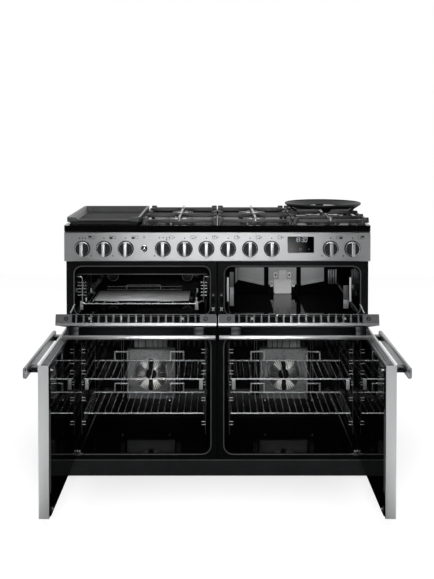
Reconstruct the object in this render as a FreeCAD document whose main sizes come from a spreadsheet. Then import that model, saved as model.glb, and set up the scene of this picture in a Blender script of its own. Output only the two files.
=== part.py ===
import FreeCAD, Part
import math
import os
import re

import Sketcher

# A freestanding dual fuel range cooker, in millimetres. X runs to the viewer's right and Z up.
# Inside this file Y is measured backwards from the control panel's face, and every piece's
# placement then moves it back or forward, so that the origin lies under the middle of the whole
# cooker, on the floor. The doors are drawn shut and are placed open, as the cooker is shown.

doc = FreeCAD.newDocument("range_cooker")
sheet = doc.addObject("Spreadsheet::Sheet", "sizes")

SIZES = {
    # Carcass
    "overall_width": 1092, "body_depth": 608, "panel_setback": 46, "sheet_wall": 2, "frame_depth": 14,
    "side_bottom": 12, "vent_length": 60, "vent_height": 5, "vent_pitch": 14, "vent_column_gap": 120,
    "vent_columns": 8, "vent_rows": 6, "rear_vent_low": 640, "tray_height": 61, "tray_wall": 3,
    "plinth_height": 62, "plinth_lift": 2, "plinth_setback": 48, "plinth_wall": 2, "plinth_return": 90,
    "plinth_lip": 8, "foot_radius": 22, "foot_thickness": 9, "foot_stem_radius": 6, "foot_nut_radius": 13,
    "foot_nut_height": 8, "foot_inset": 60, "foot_front": 110, "foot_back": 560,
    "bracket_hole_radius": 4, "bracket_hole_spacing": 300, "bracket_hole_height": 780,
    "flange_width": 22, "cable_hole_radius": 10, "cable_hole_place": 420, "cable_hole_height": 120,
    "gland_radius": 16, "gland_length": 14, "cable_bore": 7, "over": 5,
    # Control panel, with its knobs and its display
    "panel_bottom": 792, "panel_top": 896, "panel_wall": 2, "panel_edge_radius": 3,
    "knob_height": 837.4, "knob_pitch": 77.6, "outer_knob_place": 481.3, "oven_knob_place": 404,
    "third_knob_place": 326.5, "button_place": 261, "spindle_radius": 3, "spindle_hole_radius": 5,
    "running_clearance": 0.05, "knob_skirt_radius": 28.5, "knob_skirt_depth": 9, "knob_stand_off": 0.6,
    "knob_dial_radius": 25, "knob_dial_depth": 14, "knob_grip_width": 11, "knob_grip_depth": 32,
    "knob_grip_round": 3, "spindle_reach": 24,
    "button_radius": 9.5, "button_depth": 8, "button_proud": 4, "button_hole_clearance": 0.4,
    "button_travel": 2.5, "button_stem_radius": 4, "button_stem": 6,
    "display_left": 250, "display_width": 95, "display_bottom": 822.5, "display_height": 58,
    "display_depth": 5, "display_proud": 0.6, "display_round": 4,
    "switch_width": 40, "switch_height": 42, "switch_depth": 26,
    # Hob
    "hob_front": -8, "hob_bottom": 897, "hob_top": 921, "hob_round": 5, "trough_depth": 10,
    "trough_rim": 14, "hob_wall": 3, "section_width": 270, "hob_back_rim": 40,
    "burner_place": 137, "burner_front": 148, "burner_back": 392, "large_burner_radius": 48,
    "small_burner_radius": 36, "wok_place": 407, "wok_depth": 285, "wok_burner_radius": 62,
    "burner_skirt": 6, "burner_head_height": 14, "burner_cap_height": 7, "burner_cap_overhang": 4,
    "burner_cup_radius": 24, "burner_cup_height": 26, "flame_slot": 2.5, "flame_slot_depth": 5,
    "flame_slots": 20, "griddle_burner_radius": 14, "griddle_burner_inset": 60,
    "grate_top": 940, "grate_bar_height": 12, "grate_bar_width": 12, "grate_gap": 1.5, "grate_front": 14,
    "grate_back": 512, "grate_pad_length": 22, "grate_overhang": 3, "grate_foot": 14,
    "finger_top": 947, "finger_height": 13, "finger_gap": 20,
    "griddle_front": 27, "griddle_back": 495, "griddle_inner": 277, "griddle_outer": 541,
    "griddle_top": 947, "griddle_skirt": 930, "griddle_floor": 925, "griddle_underside": 919,
    "griddle_rim": 9, "griddle_step": 9, "griddle_step_top": 932, "griddle_lip_drop": 7,
    "griddle_lip_inset": 42, "griddle_foot": 16, "griddle_foot_inset": 16, "griddle_round": 10,
    "lift_clearance": 0.3,
    "wok_rim_radius": 146, "wok_rim_width": 9, "wok_rim_top": 980, "wok_rim_height": 8,
    "wok_foot_radius": 106, "wok_foot_width": 10, "wok_foot_height": 2, "wok_leg_width": 18,
    "wok_leg_slot": 46, "wok_dish_low": 957, "wok_legs": 4,
    # Gas supply
    "rail_radius": 8, "rail_depth": 50, "valve_width": 24, "valve_height": 30,
    "feed_radius": 4, "feed_height": 880, "valve_front": 10, "valve_depth": 34, "supply_place": 505,
    "inlet_radius": 13, "inlet_bore": 9.5, "inlet_length": 26, "inlet_hex_radius": 19,
    "inlet_hex_length": 10, "feed_pitch": 9,
    # Cavities, their seals and what they hold
    "cavity_wall": 2, "fan_blades": 12, "cover_spokes": 4, "fan_hub_wall": 1, "upper_inner": 30,
    "upper_outer": 513, "upper_floor": 595, "upper_roof": 763, "upper_round": 22, "lower_inner": 28,
    "lower_outer": 509, "lower_floor": 87, "lower_roof": 506, "lower_round": 28, "cavity_back": 455,
    "seal_width": 8, "seal_depth": 6.3,
    "rung_radius": 2.5, "rack_post_radius": 3, "rack_gap": 22, "rack_front": 66, "rack_back": 420,
    "rack_post_gap": 6.2, "rack_levels": 8, "rack_margin": 12, "rack_pair": 12.5, "rack_pitch": 42,
    "rack_first": 134, "grill_rack_first": 659, "grill_rungs": 5, "low_shelf_level": 2,
    "high_shelf_level": 5, "grill_rack_pitch": 11.8, "grill_rack_back": 400,
    "shelf_wire_radius": 3, "shelf_rod_radius": 1.8, "shelf_front": 72, "shelf_back": 340,
    "shelf_clearance": 0.4, "shelf_rods": 17, "shelf_arch_place": 110, "shelf_arch_width": 51,
    "shelf_arch_rise": 35,
    "cover_width": 192, "cover_height": 200, "cover_depth": 24, "cover_wall": 1.5, "fan_place": 268,
    "fan_height": 272, "grille_radius": 62, "grille_wire_radius": 1.2, "grille_pitch": 9,
    "fan_radius": 56, "fan_depth": 14, "fan_hub_radius": 11, "fan_blade": 1.6, "fan_shaft_radius": 4,
    "fan_gap": 4, "fan_disc": 1.5, "motor_radius": 38, "motor_depth": 52, "motor_plate": 3,
    "element_radius": 3.5, "element_sleeve": 1, "ring_element_turn": 300, "ring_element_radius": 76,
    "grill_element_drop": 18, "grill_element_reach": 262, "grill_element_front": 130,
    "grill_element_pitch": 46, "lamp_radius": 20, "lamp_depth": 9, "lamp_base_radius": 14,
    "lamp_base_depth": 30, "lamp_height": 420, "grill_lamp_height": 668,
    "lamp_place": 120, "grill_lamp_spread": 150, "pan_width": 366, "pan_front": 86, "pan_length": 210,
    "pan_bottom": 626, "pan_rim": 634, "pan_wall": 2, "pan_lip": 40, "pan_handle_width": 140,
    "pan_handle_radius": 2.5, "pan_handle_rise": 27, "pan_rail_radius": 3, "pan_rail_front": 62,
    "runner_wall": 2, "runner_width": 24, "runner_height": 30, "runner_front": 56,
    "runner_clearance": 0.4, "flue_width": 70, "flue_height": 62, "flue_depth": 14,
    "flue_neck_width": 32, "flue_neck_height": 34, "flue_place": 263, "flue_ear_radius": 9,
    "flue_hole_radius": 2.5,
    # Doors, shared
    "door_gap": 7, "door_inset": 3, "door_depth": 38, "door_wall": 2, "door_rail": 26,
    "door_panel_depth": 5, "door_panel_inset": 6, "door_edge_round": 2.5,
    "bar_height": 34, "bar_thickness": 14, "bar_start": 6, "bar_end": 522, "bar_projection": 46,
    "bar_drop": 24, "post_place": 62.5, "post_far_place": 483, "post_width": 36, "post_height": 16,
    # Upper doors, which drop down
    "upper_door_bottom": 555, "upper_door_top": 787, "upper_pin_depth": 9, "upper_pin_height": 563.5,
    "upper_open_angle": 76.5, "door_slot_pitch": 25, "door_slot_width": 20, "door_slot_near": 12,
    "door_slot_far": 31, "door_slot_count": 16, "door_half_slot": 12, "door_pin_radius": 4,
    "door_pin_length": 14, "ear_notch": 11, "ear_width": 5, "ear_inset": 3, "ear_radius": 6,
    "ear_play": 1.5,
    # Lower doors, which swing out
    "lower_door_bottom": 79, "lower_door_top": 549, "lower_pin_side": 528.5, "lower_pin_depth": 17,
    "lower_open_angle": 90, "lug_thickness": 3.5, "lug_radius": 12, "lug_play": 1,
    "window_side": 84, "window_bottom": 96, "window_top": 118, "window_glass": 4, "window_lap": 14,
    "hole_pitch": 15, "hole_length": 10, "hole_width": 5, "hole_row_one": 12, "hole_row_two": 22,
    "hole_count": 29, "catch_radius": 4, "catch_length": 6, "catch_drop": 22, "catch_place": 12,
}
for row, (alias, value) in enumerate(SIZES.items(), start=1):
    sheet.set("A%d" % row, alias)
    sheet.set("B%d" % row, str(value))
    sheet.setAlias("B%d" % row, alias)
doc.recompute()

WORD = re.compile(r"[a-z][a-z_]*")
NODES = []
counter = {}


def size(alias):
    """A driving size, read from the sheet."""
    return float(sheet.get(alias))


def sized(text):
    """The expression with each of the sheet's names written as a cell of the sheet."""
    return WORD.sub(lambda m: "sizes." + m.group(0) if m.group(0) in SIZES else m.group(0), text)


def worked_out(text):
    """The value of an expression, for counts, edges and first guesses."""
    return float(doc.sizes.evalExpression(sized(text).replace("sizes.", "")))


def bind(item, place, text):
    item.setExpression(place, sized(text))


def fresh(name):
    counter[name] = counter.get(name, 0) + 1
    return "%s_%d" % (name, counter[name])


def put(item, place):
    for axis, text in zip("xyz", place):
        bind(item, "Placement.Base." + axis, text)
    return item


def block(low, extent, name="block"):
    """A box from its lowest corner and its three lengths."""
    item = doc.addObject("Part::Box", fresh(name))
    bind(item, "Length", extent[0])
    bind(item, "Width", extent[1])
    bind(item, "Height", extent[2])
    return put(item, low)


TURN = {
    "x": FreeCAD.Rotation(FreeCAD.Vector(0, 1, 0), 90),
    "y": FreeCAD.Rotation(FreeCAD.Vector(1, 0, 0), -90),
    "z": FreeCAD.Rotation(),
}


def rod(start, axis, radius, length, name="rod"):
    """A round bar that runs from its start along a positive axis."""
    item = doc.addObject("Part::Cylinder", fresh(name))
    item.Placement = FreeCAD.Placement(FreeCAD.Vector(), TURN[axis])
    bind(item, "Radius", radius)
    bind(item, "Height", length)
    return put(item, start)


def ring(centre, axis, radius, wire, name="ring", angle=None, spin=0):
    """A bent wire, whole or part of a turn, about an axis."""
    item = doc.addObject("Part::Torus", fresh(name))
    turn = TURN[axis].multiply(FreeCAD.Rotation(FreeCAD.Vector(0, 0, 1), spin))
    item.Placement = FreeCAD.Placement(FreeCAD.Vector(), turn)
    bind(item, "Radius1", radius)
    bind(item, "Radius2", wire)
    if angle is not None:
        item.Angle3 = angle
    return put(item, centre)


def washer(centre, radius, width, thickness):
    """A flat ring about the Y axis, from its middle radius."""
    outer = rod(centre, "y", "%s + %s" % (radius, width), thickness)
    inner = rod((centre[0], "%s - over" % centre[1], centre[2]), "y", "%s - %s" % (radius, width),
                "%s + over * 2" % thickness)
    return cut(outer, [inner])


def join(items, name="joined", refine=True):
    """One solid from pieces that overlap. Round pieces that cross keep their seams."""
    item = doc.addObject("Part::MultiFuse", fresh(name))
    item.Shapes = items
    item.Refine = refine
    return item


def group(items, name="group"):
    """Separate solids kept together."""
    item = doc.addObject("Part::Compound", fresh(name))
    item.Links = items
    return item


def cut(base, tools, name="cut"):
    item = doc.addObject("Part::Cut", fresh(name))
    item.Base = base
    item.Tool = tools[0] if len(tools) == 1 else group(tools, "tools")
    return item


def along(edge, axis):
    """Whether a straight edge runs along an axis."""
    if edge.Curve.TypeId != "Part::GeomLine":
        return False
    step = edge.Vertexes[-1].Point - edge.Vertexes[0].Point
    return abs(getattr(step, axis)) > 0.999 * step.Length


def rounded(base, axis, alias, keep=None):
    """The solid with its edges along one axis rounded."""
    doc.recompute()
    item = doc.addObject("Part::Fillet", fresh("rounded"))
    item.Base = base
    radius = size(alias)
    picked = []
    for number, edge in enumerate(base.Shape.Edges, start=1):
        if along(edge, axis) and (keep is None or keep(edge)):
            picked.append((number, radius, radius))
    item.Edges = picked
    return item


def finish(item, label, place=("0", None, "0")):
    """Names the finished sub-part and puts it at its place in the cooker."""
    item.Label = label
    put(item, (place[0], SHIFT if place[1] is None else place[1] + " + " + SHIFT, place[2]))
    NODES.append(item)
    return item


def side_span(side, near, far):
    """The lowest X and the width of a stretch given by its distances from the middle."""
    low = "(%s)" % near if side > 0 else "-(%s)" % far
    return low, "(%s) - (%s)" % (far, near)


def body_named(name):
    return doc.addObject("PartDesign::Body", fresh(name))


def sketch_on(body, role):
    """A sketch that lies flat on one of the body's own planes."""
    sketch = body.newObject("Sketcher::SketchObject", fresh("sketch"))
    plane = [item for item in body.Origin.OriginFeatures if item.Role == role][0]
    sketch.AttachmentSupport = [(plane, "")]
    sketch.MapMode = "FlatFace"
    return sketch


def corner(sketch, number, point, across, up):
    """Holds one point of an outline at its two distances from the sketch's origin."""
    for kind, text in (("DistanceX", across), ("DistanceY", up)):
        value = worked_out(text)
        spot = sketch.addConstraint(Sketcher.Constraint(kind, -1, 1, number, point, value))
        bind(sketch, "Constraints[%d]" % spot, text)


def outline(sketch, points):
    """A closed outline of straight lines through points that are written in named sizes."""
    spots = [FreeCAD.Vector(worked_out(a), worked_out(b), 0) for a, b in points]
    numbers = []
    for here, there in zip(spots, spots[1:] + spots[:1]):
        numbers.append(sketch.addGeometry(Part.LineSegment(here, there), False))
    for here, there in zip(numbers, numbers[1:] + numbers[:1]):
        sketch.addConstraint(Sketcher.Constraint("Coincident", here, 2, there, 1))
    for number, (across, up) in zip(numbers, points):
        corner(sketch, number, 1, across, up)


def turned(body, sketch, axis="V_Axis"):
    item = body.newObject("PartDesign::Revolution", fresh("turned"))
    item.Profile = sketch
    item.ReferenceAxis = (sketch, [axis])
    item.Angle = 360
    return item


# How far each lower door reaches forward when it stands open, and the shift that puts the
# origin under the middle of the cooker.
HALF = "overall_width / 2"
DOOR_OUTER = "(overall_width / 2 - door_inset)"
DOOR_INNER = "(door_gap / 2)"
REACH = "(lower_pin_side - door_gap / 2 - lower_pin_depth)"
SHIFT = "((%s - body_depth) / 2)" % REACH
SKIN = "(door_depth - door_panel_depth)"
TROUGH = "(hob_top - trough_depth)"
GAS_SHARES = (-2.5, -1.5, -0.5, 0.5, 1.5, 2.5)
GRILL_RUN_SHARES = (-1.5, -0.5, 0.5, 1.5)
SIDES = ((-1, "left"), (1, "right"))


def side_panels():
    """The two folded outer sides, each with a flange that laps the back."""
    sheets = []
    for side, word in SIDES:
        x, wide = side_span(side, HALF + " - sheet_wall", HALF)
        skin = block((x, "panel_setback + frame_depth", "side_bottom"),
                     (wide, "body_depth - panel_setback - frame_depth", "hob_bottom - side_bottom"))
        x, wide = side_span(side, HALF + " - flange_width", HALF)
        flange = block((x, "body_depth - sheet_wall", "side_bottom"),
                       (wide, "sheet_wall", "hob_bottom - side_bottom"))
        sheets.append(join([skin, flange]))
    finish(group(sheets), "side_panels")


def back_panel():
    """The back sheet, with rows of vents, the gas and cable holes and two holes for the
    stability bracket."""
    wide = "(%s - sheet_wall)" % HALF
    base = block(("-" + wide, "body_depth - sheet_wall * 2", "side_bottom"),
                 (wide + " * 2", "sheet_wall", "hob_bottom - side_bottom"))
    deep = "body_depth - sheet_wall * 2 - over"
    through = "sheet_wall + over * 2"
    tools = []
    for column in range(int(size("vent_columns"))):
        place = "(%s) * vent_column_gap - vent_length / 2" % (column - (size("vent_columns") - 1) / 2)
        for row in range(int(size("vent_rows"))):
            tools.append(block((place, deep, "rear_vent_low + %d * vent_pitch" % row),
                               ("vent_length", through, "vent_height")))
    tools.append(rod(("supply_place", deep, "knob_height"), "y", "inlet_radius", through))
    tools.append(rod(("cable_hole_place", deep, "cable_hole_height"), "y", "cable_hole_radius", through))
    for side, word in SIDES:
        tools.append(rod(("%d * bracket_hole_spacing / 2" % side, deep, "bracket_hole_height"), "y",
                         "bracket_hole_radius", through))
    gland = rod(("cable_hole_place", "body_depth - sheet_wall * 2 - gland_length", "cable_hole_height"),
                "y", "gland_radius", "gland_length")
    throat = rod(("cable_hole_place", "body_depth - sheet_wall * 2 - gland_length - over",
                  "cable_hole_height"), "y", "cable_bore", "gland_length + sheet_wall + over * 2")
    stem = rod(("cable_hole_place", "body_depth - sheet_wall * 2 - gland_length", "cable_hole_height"),
               "y", "cable_hole_radius", "gland_length + sheet_wall * 2")
    finish(cut(join([cut(base, tools), gland, stem]), [throat]), "back_panel")


def base_tray():
    wide = "(%s - sheet_wall)" % HALF
    tray = block(("-" + wide, "panel_setback + frame_depth", "tray_height"),
                 (wide + " * 2", "body_depth - panel_setback - frame_depth - sheet_wall * 2", "tray_wall"))
    finish(group([tray]), "base_tray")


def plinth():
    """The kickboard: a front sheet with two side returns and a top lip under the frame."""
    tall = "plinth_height - plinth_lift"
    outer = block(("-" + HALF, "plinth_setback", "plinth_lift"), ("overall_width", "plinth_return", tall))
    inner = block(("-%s + plinth_wall" % HALF, "plinth_setback + plinth_wall", "plinth_lift - over"),
                  ("overall_width - plinth_wall * 2", "plinth_return", tall + " - plinth_wall + over"))
    space = block(("-%s + plinth_wall" % HALF, "plinth_setback + plinth_wall + plinth_lip", "plinth_lift"),
                  ("overall_width - plinth_wall * 2", "plinth_return", tall + " + over"))
    side_cut = block(("-%s - over" % HALF, "panel_setback + frame_depth", "side_bottom"),
                     ("over + sheet_wall * 2", "plinth_return", tall))
    other_cut = block(("%s - sheet_wall * 2" % HALF, "panel_setback + frame_depth", "side_bottom"),
                      ("over + sheet_wall * 2", "plinth_return", tall))
    finish(cut(outer, [inner, space, side_cut, other_cut]), "plinth")


def levelling_feet():
    """Four screwed feet under the base tray."""
    feet = []
    for side, word in SIDES:
        for depth in ("foot_front", "foot_back"):
            x = "%d * (%s - foot_inset)" % (side, HALF)
            disc = rod((x, depth, "0"), "z", "foot_radius", "foot_thickness")
            stem = rod((x, depth, "0"), "z", "foot_stem_radius", "tray_height")
            nut = doc.addObject("Part::Prism", fresh("nut"))
            nut.Polygon = 6
            bind(nut, "Circumradius", "foot_nut_radius")
            bind(nut, "Height", "foot_nut_height")
            put(nut, (x, depth, "tray_height - foot_nut_height"))
            feet.append(join([disc, stem, nut]))
    finish(group(feet), "levelling_feet")


CAVITIES = {
    "upper": ("upper_inner", "upper_outer", "upper_floor", "upper_roof", "upper_round"),
    "lower": ("lower_inner", "lower_outer", "lower_floor", "lower_roof", "lower_round"),
}


def mouth(kind, side, front, depth, grow):
    """A block with a cavity's rounded outline, grown evenly by an allowance."""
    inner, outer, floor, roof, bend = CAVITIES[kind]
    x, wide = side_span(side, "%s - (%s)" % (inner, grow), "%s + %s" % (outer, grow))
    shape = block((x, front, "%s - (%s)" % (floor, grow)),
                  (wide, depth, "%s - %s + (%s) * 2" % (roof, floor, grow)))
    doc.recompute()
    item = doc.addObject("Part::Fillet", fresh("mouth"))
    item.Base = shape
    radius = worked_out("%s + (%s)" % (bend, grow))
    picked = []
    for number, edge in enumerate(shape.Shape.Edges, start=1):
        if along(edge, "y"):
            picked.append((number, radius, radius))
    item.Edges = picked
    return item


def front_frame():
    """The enamelled face that the doors shut against, with a mouth for each cavity."""
    face = block(("-" + HALF, "panel_setback", "plinth_height"),
                 ("overall_width", "frame_depth", "panel_bottom - plinth_height"))
    tools = []
    for kind in CAVITIES:
        for side, word in SIDES:
            tools.append(mouth(kind, side, "panel_setback - over", "frame_depth + over * 2", "cavity_wall"))
    finish(cut(face, tools), "front_frame")


def liner(kind, side):
    """One cavity: an open-fronted enamelled box with rounded corners."""
    outer = mouth(kind, side, "panel_setback", "cavity_back - panel_setback + cavity_wall", "cavity_wall")
    inner = mouth(kind, side, "panel_setback - over", "cavity_back - panel_setback + over", "0")
    return outer, inner


def cavities():
    """The grill, the top oven and the two fan ovens, with holes for shafts and lamps."""
    for kind in CAVITIES:
        shells = []
        for side, word in SIDES:
            outer, inner = liner(kind, side)
            tools = [inner]
            back = "cavity_back - over"
            deep = "cavity_wall + over * 2"
            if kind == "lower":
                x = "%d * fan_place" % side
                tools.append(rod((x, back, "fan_height"), "y", "fan_shaft_radius + lift_clearance", deep))
            for place, height in lamp_places(kind, side):
                tools.append(rod((place, back, height), "y", "lamp_base_radius", deep))
            shells.append(cut(outer, tools))
        finish(group(shells), kind + "_cavities")


def lamp_places(kind, side):
    """Where the lamps stand in a cavity's back wall: X and Z."""
    if kind == "lower":
        return [("%d * (fan_place + lamp_place)" % side, "lamp_height")]
    if side < 0:
        middle = "-(upper_inner + upper_outer) / 2"
        return [(middle + " - grill_lamp_spread", "grill_lamp_height"),
                (middle + " + grill_lamp_spread", "grill_lamp_height")]
    return []


def oven_lamps():
    lamps = []
    for kind in CAVITIES:
        for side, word in SIDES:
            for place, height in lamp_places(kind, side):
                lens = rod((place, "cavity_back - lamp_depth", height), "y", "lamp_radius", "lamp_depth")
                base = rod((place, "cavity_back - lamp_depth", height), "y", "lamp_base_radius",
                           "lamp_depth + lamp_base_depth")
                lamps.append(join([lens, base]))
    finish(group(lamps), "oven_lamps")


def door_seals():
    """A rubber ring on the face round each mouth."""
    rings = []
    for kind in CAVITIES:
        for side, word in SIDES:
            outer = mouth(kind, side, "panel_setback - seal_depth", "seal_depth", "cavity_wall + seal_width")
            inner = mouth(kind, side, "panel_setback - seal_depth - over", "seal_depth + over * 2",
                          "cavity_wall")
            rings.append(cut(outer, [inner]))
    finish(group(rings), "door_seals")


def control_panel():
    """The folded fascia: a rounded front with top, bottom and end returns."""
    deep = "(panel_setback + frame_depth)"
    outer = block(("-" + HALF, "0", "panel_bottom"), ("overall_width", deep, "panel_top - panel_bottom"))
    outer = rounded(outer, "x", "panel_edge_radius", lambda edge: edge.CenterOfMass.y < size("panel_wall"))
    inner = block(("-%s + panel_wall" % HALF, "panel_wall", "panel_bottom + panel_wall"),
                  ("overall_width - panel_wall * 2", deep, "panel_top - panel_bottom - panel_wall * 2"))
    tools = [inner]
    for name, place, kind in knob_places():
        tools.append(rod((place, "-over", "knob_height"), "y", "spindle_hole_radius",
                         "panel_wall + over * 2"))
    tools.append(rod(("-button_place", "-over", "knob_height"), "y",
                     "button_radius + button_hole_clearance", "panel_wall + over * 2"))
    tools.append(display_block("-over", "panel_wall + over * 2"))
    finish(cut(outer, tools), "control_panel")


def display_block(front, depth):
    shape = block(("display_left", front, "display_bottom"), ("display_width", depth, "display_height"))
    return rounded(shape, "y", "display_round")


def display_glass():
    """The clock's dark window, set in the panel and a little proud of it."""
    finish(group([display_block("-display_proud", "display_depth + display_proud")]), "display_glass")


def knob_places():
    """Each knob's name, its X and whether it works an oven or a gas tap."""
    places = [
        ("left_outer_knob", "-outer_knob_place", "oven"),
        ("left_oven_knob", "-oven_knob_place", "oven"),
        ("left_grill_knob", "-third_knob_place", "oven"),
    ]
    words = ("griddle", "left_front", "left_back", "right_back", "right_front", "wok")
    for word, share in zip(words, GAS_SHARES):
        places.append((word + "_gas_knob", "(%s) * knob_pitch" % share, "gas"))
    places.append(("right_oven_knob", "oven_knob_place", "oven"))
    places.append(("right_outer_knob", "outer_knob_place", "oven"))
    return places


def knobs():
    """Each knob: a turned skirt and dial with two hollows that leave a grip bar, on a spindle."""
    for name, place, kind in knob_places():
        body = body_named(name)
        sketch = sketch_on(body, "XY_Plane")
        back = "0"
        skirt = "knob_skirt_depth"
        grip = "knob_grip_depth"
        bore = "spindle_radius + running_clearance"
        seat = "spindle_reach"
        outline(sketch, [
            (bore, back), ("knob_skirt_radius", back), ("knob_skirt_radius", skirt + " * 2 / 3"),
            ("knob_skirt_radius - knob_skirt_depth / 3", skirt), ("knob_dial_radius", skirt),
            ("knob_dial_radius", grip + " - knob_grip_round"),
            ("knob_dial_radius - knob_grip_round", grip), ("0", grip), ("0", seat), (bore, seat)])
        turned(body, sketch)
        doc.recompute()
        tools = []
        for side in (-1, 1):
            x, wide = side_span(side, "knob_grip_width / 2", "knob_skirt_radius + over")
            tools.append(block((x, "knob_dial_depth", "-knob_skirt_radius - over"),
                               (wide, "knob_grip_depth + over", "(knob_skirt_radius + over) * 2")))
        item = cut(body, tools, name)
        item.Placement = FreeCAD.Placement(FreeCAD.Vector(), FreeCAD.Rotation(FreeCAD.Vector(0, 0, 1), 180))
        finish(item, name, (place, "-knob_stand_off", "knob_height"))


def light_button():
    """The push button for the lamps, with the stem that works its switch."""
    cap = rod(("0", "0", "0"), "y", "button_radius", "button_depth")
    stem = rod(("0", "0", "0"), "y", "button_stem_radius", "button_depth + button_stem")
    finish(join([cap, stem]), "light_button", ("-button_place", "-button_proud", "knob_height"))


def spindle(place):
    return rod((place, "-knob_stand_off - spindle_reach + running_clearance * 4", "knob_height"), "y",
               "spindle_radius", "spindle_reach + knob_stand_off + valve_front")


def oven_switches():
    """The rotary switches behind the oven knobs and the push switch behind the button."""
    switches = []
    for name, place, kind in knob_places():
        if kind == "oven":
            case = block(("%s - switch_width / 2" % place, "valve_front", "knob_height - switch_height / 2"),
                         ("switch_width", "switch_depth", "switch_height"))
            switches.append(join([case, spindle(place)]))
    front = "-button_proud + button_depth + button_stem + button_travel + lift_clearance"
    push = block(("-button_place - switch_width / 2", front, "knob_height - switch_height / 2"),
                 ("switch_width", "switch_depth", "switch_height"))
    arm = block(("-button_place + button_radius + button_hole_clearance", "panel_wall",
                 "knob_height - button_radius / 2"), ("panel_wall", front, "button_radius"))
    switches.append(join([push, arm]))
    rails = []
    for side, word in SIDES:
        x, wide = side_span(side, "third_knob_place - switch_width", HALF + " - panel_wall")
        rails.append(block((x, "valve_front + switch_depth", "knob_height - switch_height / 2"),
                           (wide, "panel_wall", "switch_height")))
    finish(group(switches + rails), "oven_switches")


def burner_places():
    """Each burner: its X, its Y and its radius, in the order of the gas knobs."""
    return (
        ("-(griddle_inner + griddle_outer) / 2", "griddle_front + griddle_burner_inset",
         "griddle_burner_radius"),
        ("-burner_place", "burner_front", "large_burner_radius"),
        ("-burner_place", "burner_back", "small_burner_radius"),
        ("burner_place", "burner_back", "large_burner_radius"),
        ("burner_place", "burner_front", "small_burner_radius"),
        ("wok_place", "wok_depth", "wok_burner_radius"),
    )


def gas_rail():
    """The manifold, its six taps, the feed to each burner and the supply to the inlet."""
    pieces = [rod(("-knob_pitch * 3", "rail_depth", "knob_height"), "x", "rail_radius",
                  "knob_pitch * 3 + supply_place")]
    taps = [place for name, place, kind in knob_places() if kind == "gas"]
    for number, (tap, (x, y, radius)) in enumerate(zip(taps, burner_places())):
        pieces.append(block(("%s - valve_width / 2" % tap, "valve_front", "knob_height - valve_height / 2"),
                            ("valve_width", "valve_depth", "valve_height")))
        pieces.append(spindle(tap))
        level = "(feed_height - %d * feed_pitch / 2)" % number
        start = "valve_front + valve_depth / 2"
        pieces.append(rod((tap, start, "knob_height"), "z", "feed_radius", level + " - knob_height"))
        pieces.append(rod((tap, start, level), "y", "feed_radius", "%s - (%s)" % (y, start)))
        low, high = (tap, x) if worked_out(tap) < worked_out(x) else (x, tap)
        pieces.append(rod((low, y, level), "x", "feed_radius", "(%s) - (%s)" % (high, low)))
        cup = TROUGH + " - burner_cup_height"
        pieces.append(rod((x, y, level), "z", "feed_radius", "(%s) - %s" % (cup, level)))
    pieces.append(rod(("supply_place", "rail_depth", "knob_height"), "y", "rail_radius",
                      "body_depth - inlet_length - rail_depth"))
    pieces.append(rod(("supply_place", "body_depth - inlet_length", "knob_height"), "y", "inlet_radius",
                      "inlet_length"))
    hexagon = rod(("supply_place", "body_depth - inlet_length", "knob_height"), "y", "inlet_hex_radius",
                  "inlet_hex_length")
    bore = rod(("supply_place", "body_depth - inlet_length + panel_wall", "knob_height"), "y", "inlet_bore",
               "inlet_length")
    finish(cut(join(pieces + [hexagon]), [bore]), "gas_rail")


def hob_top():
    """The pressed hob: a raised rim round a trough, open underneath, with burner holes."""
    tall = "hob_top - hob_bottom"
    outer = block(("-" + HALF, "hob_front", "hob_bottom"), ("overall_width", "body_depth - hob_front", tall))
    outer = rounded(outer, "z", "hob_round")
    trough = block(("-%s + trough_rim" % HALF, "hob_front + trough_rim", TROUGH),
                   ("overall_width - trough_rim * 2",
                    "body_depth - hob_front - trough_rim - hob_back_rim", "trough_depth + over"))
    trough = rounded(trough, "z", "hob_round")
    under = block(("-%s + hob_wall" % HALF, "hob_front + hob_wall", "hob_bottom - over"),
                  ("overall_width - hob_wall * 2", "body_depth - hob_front - hob_wall * 2",
                   tall + " - trough_depth - hob_wall + over"))
    tools = [trough, under]
    for x, y, radius in burner_places():
        tools.append(rod((x, y, "hob_bottom"), "z",
                         "burner_cup_radius" if radius != "griddle_burner_radius" else radius, tall))
    finish(cut(outer, tools), "hob_top")


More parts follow.
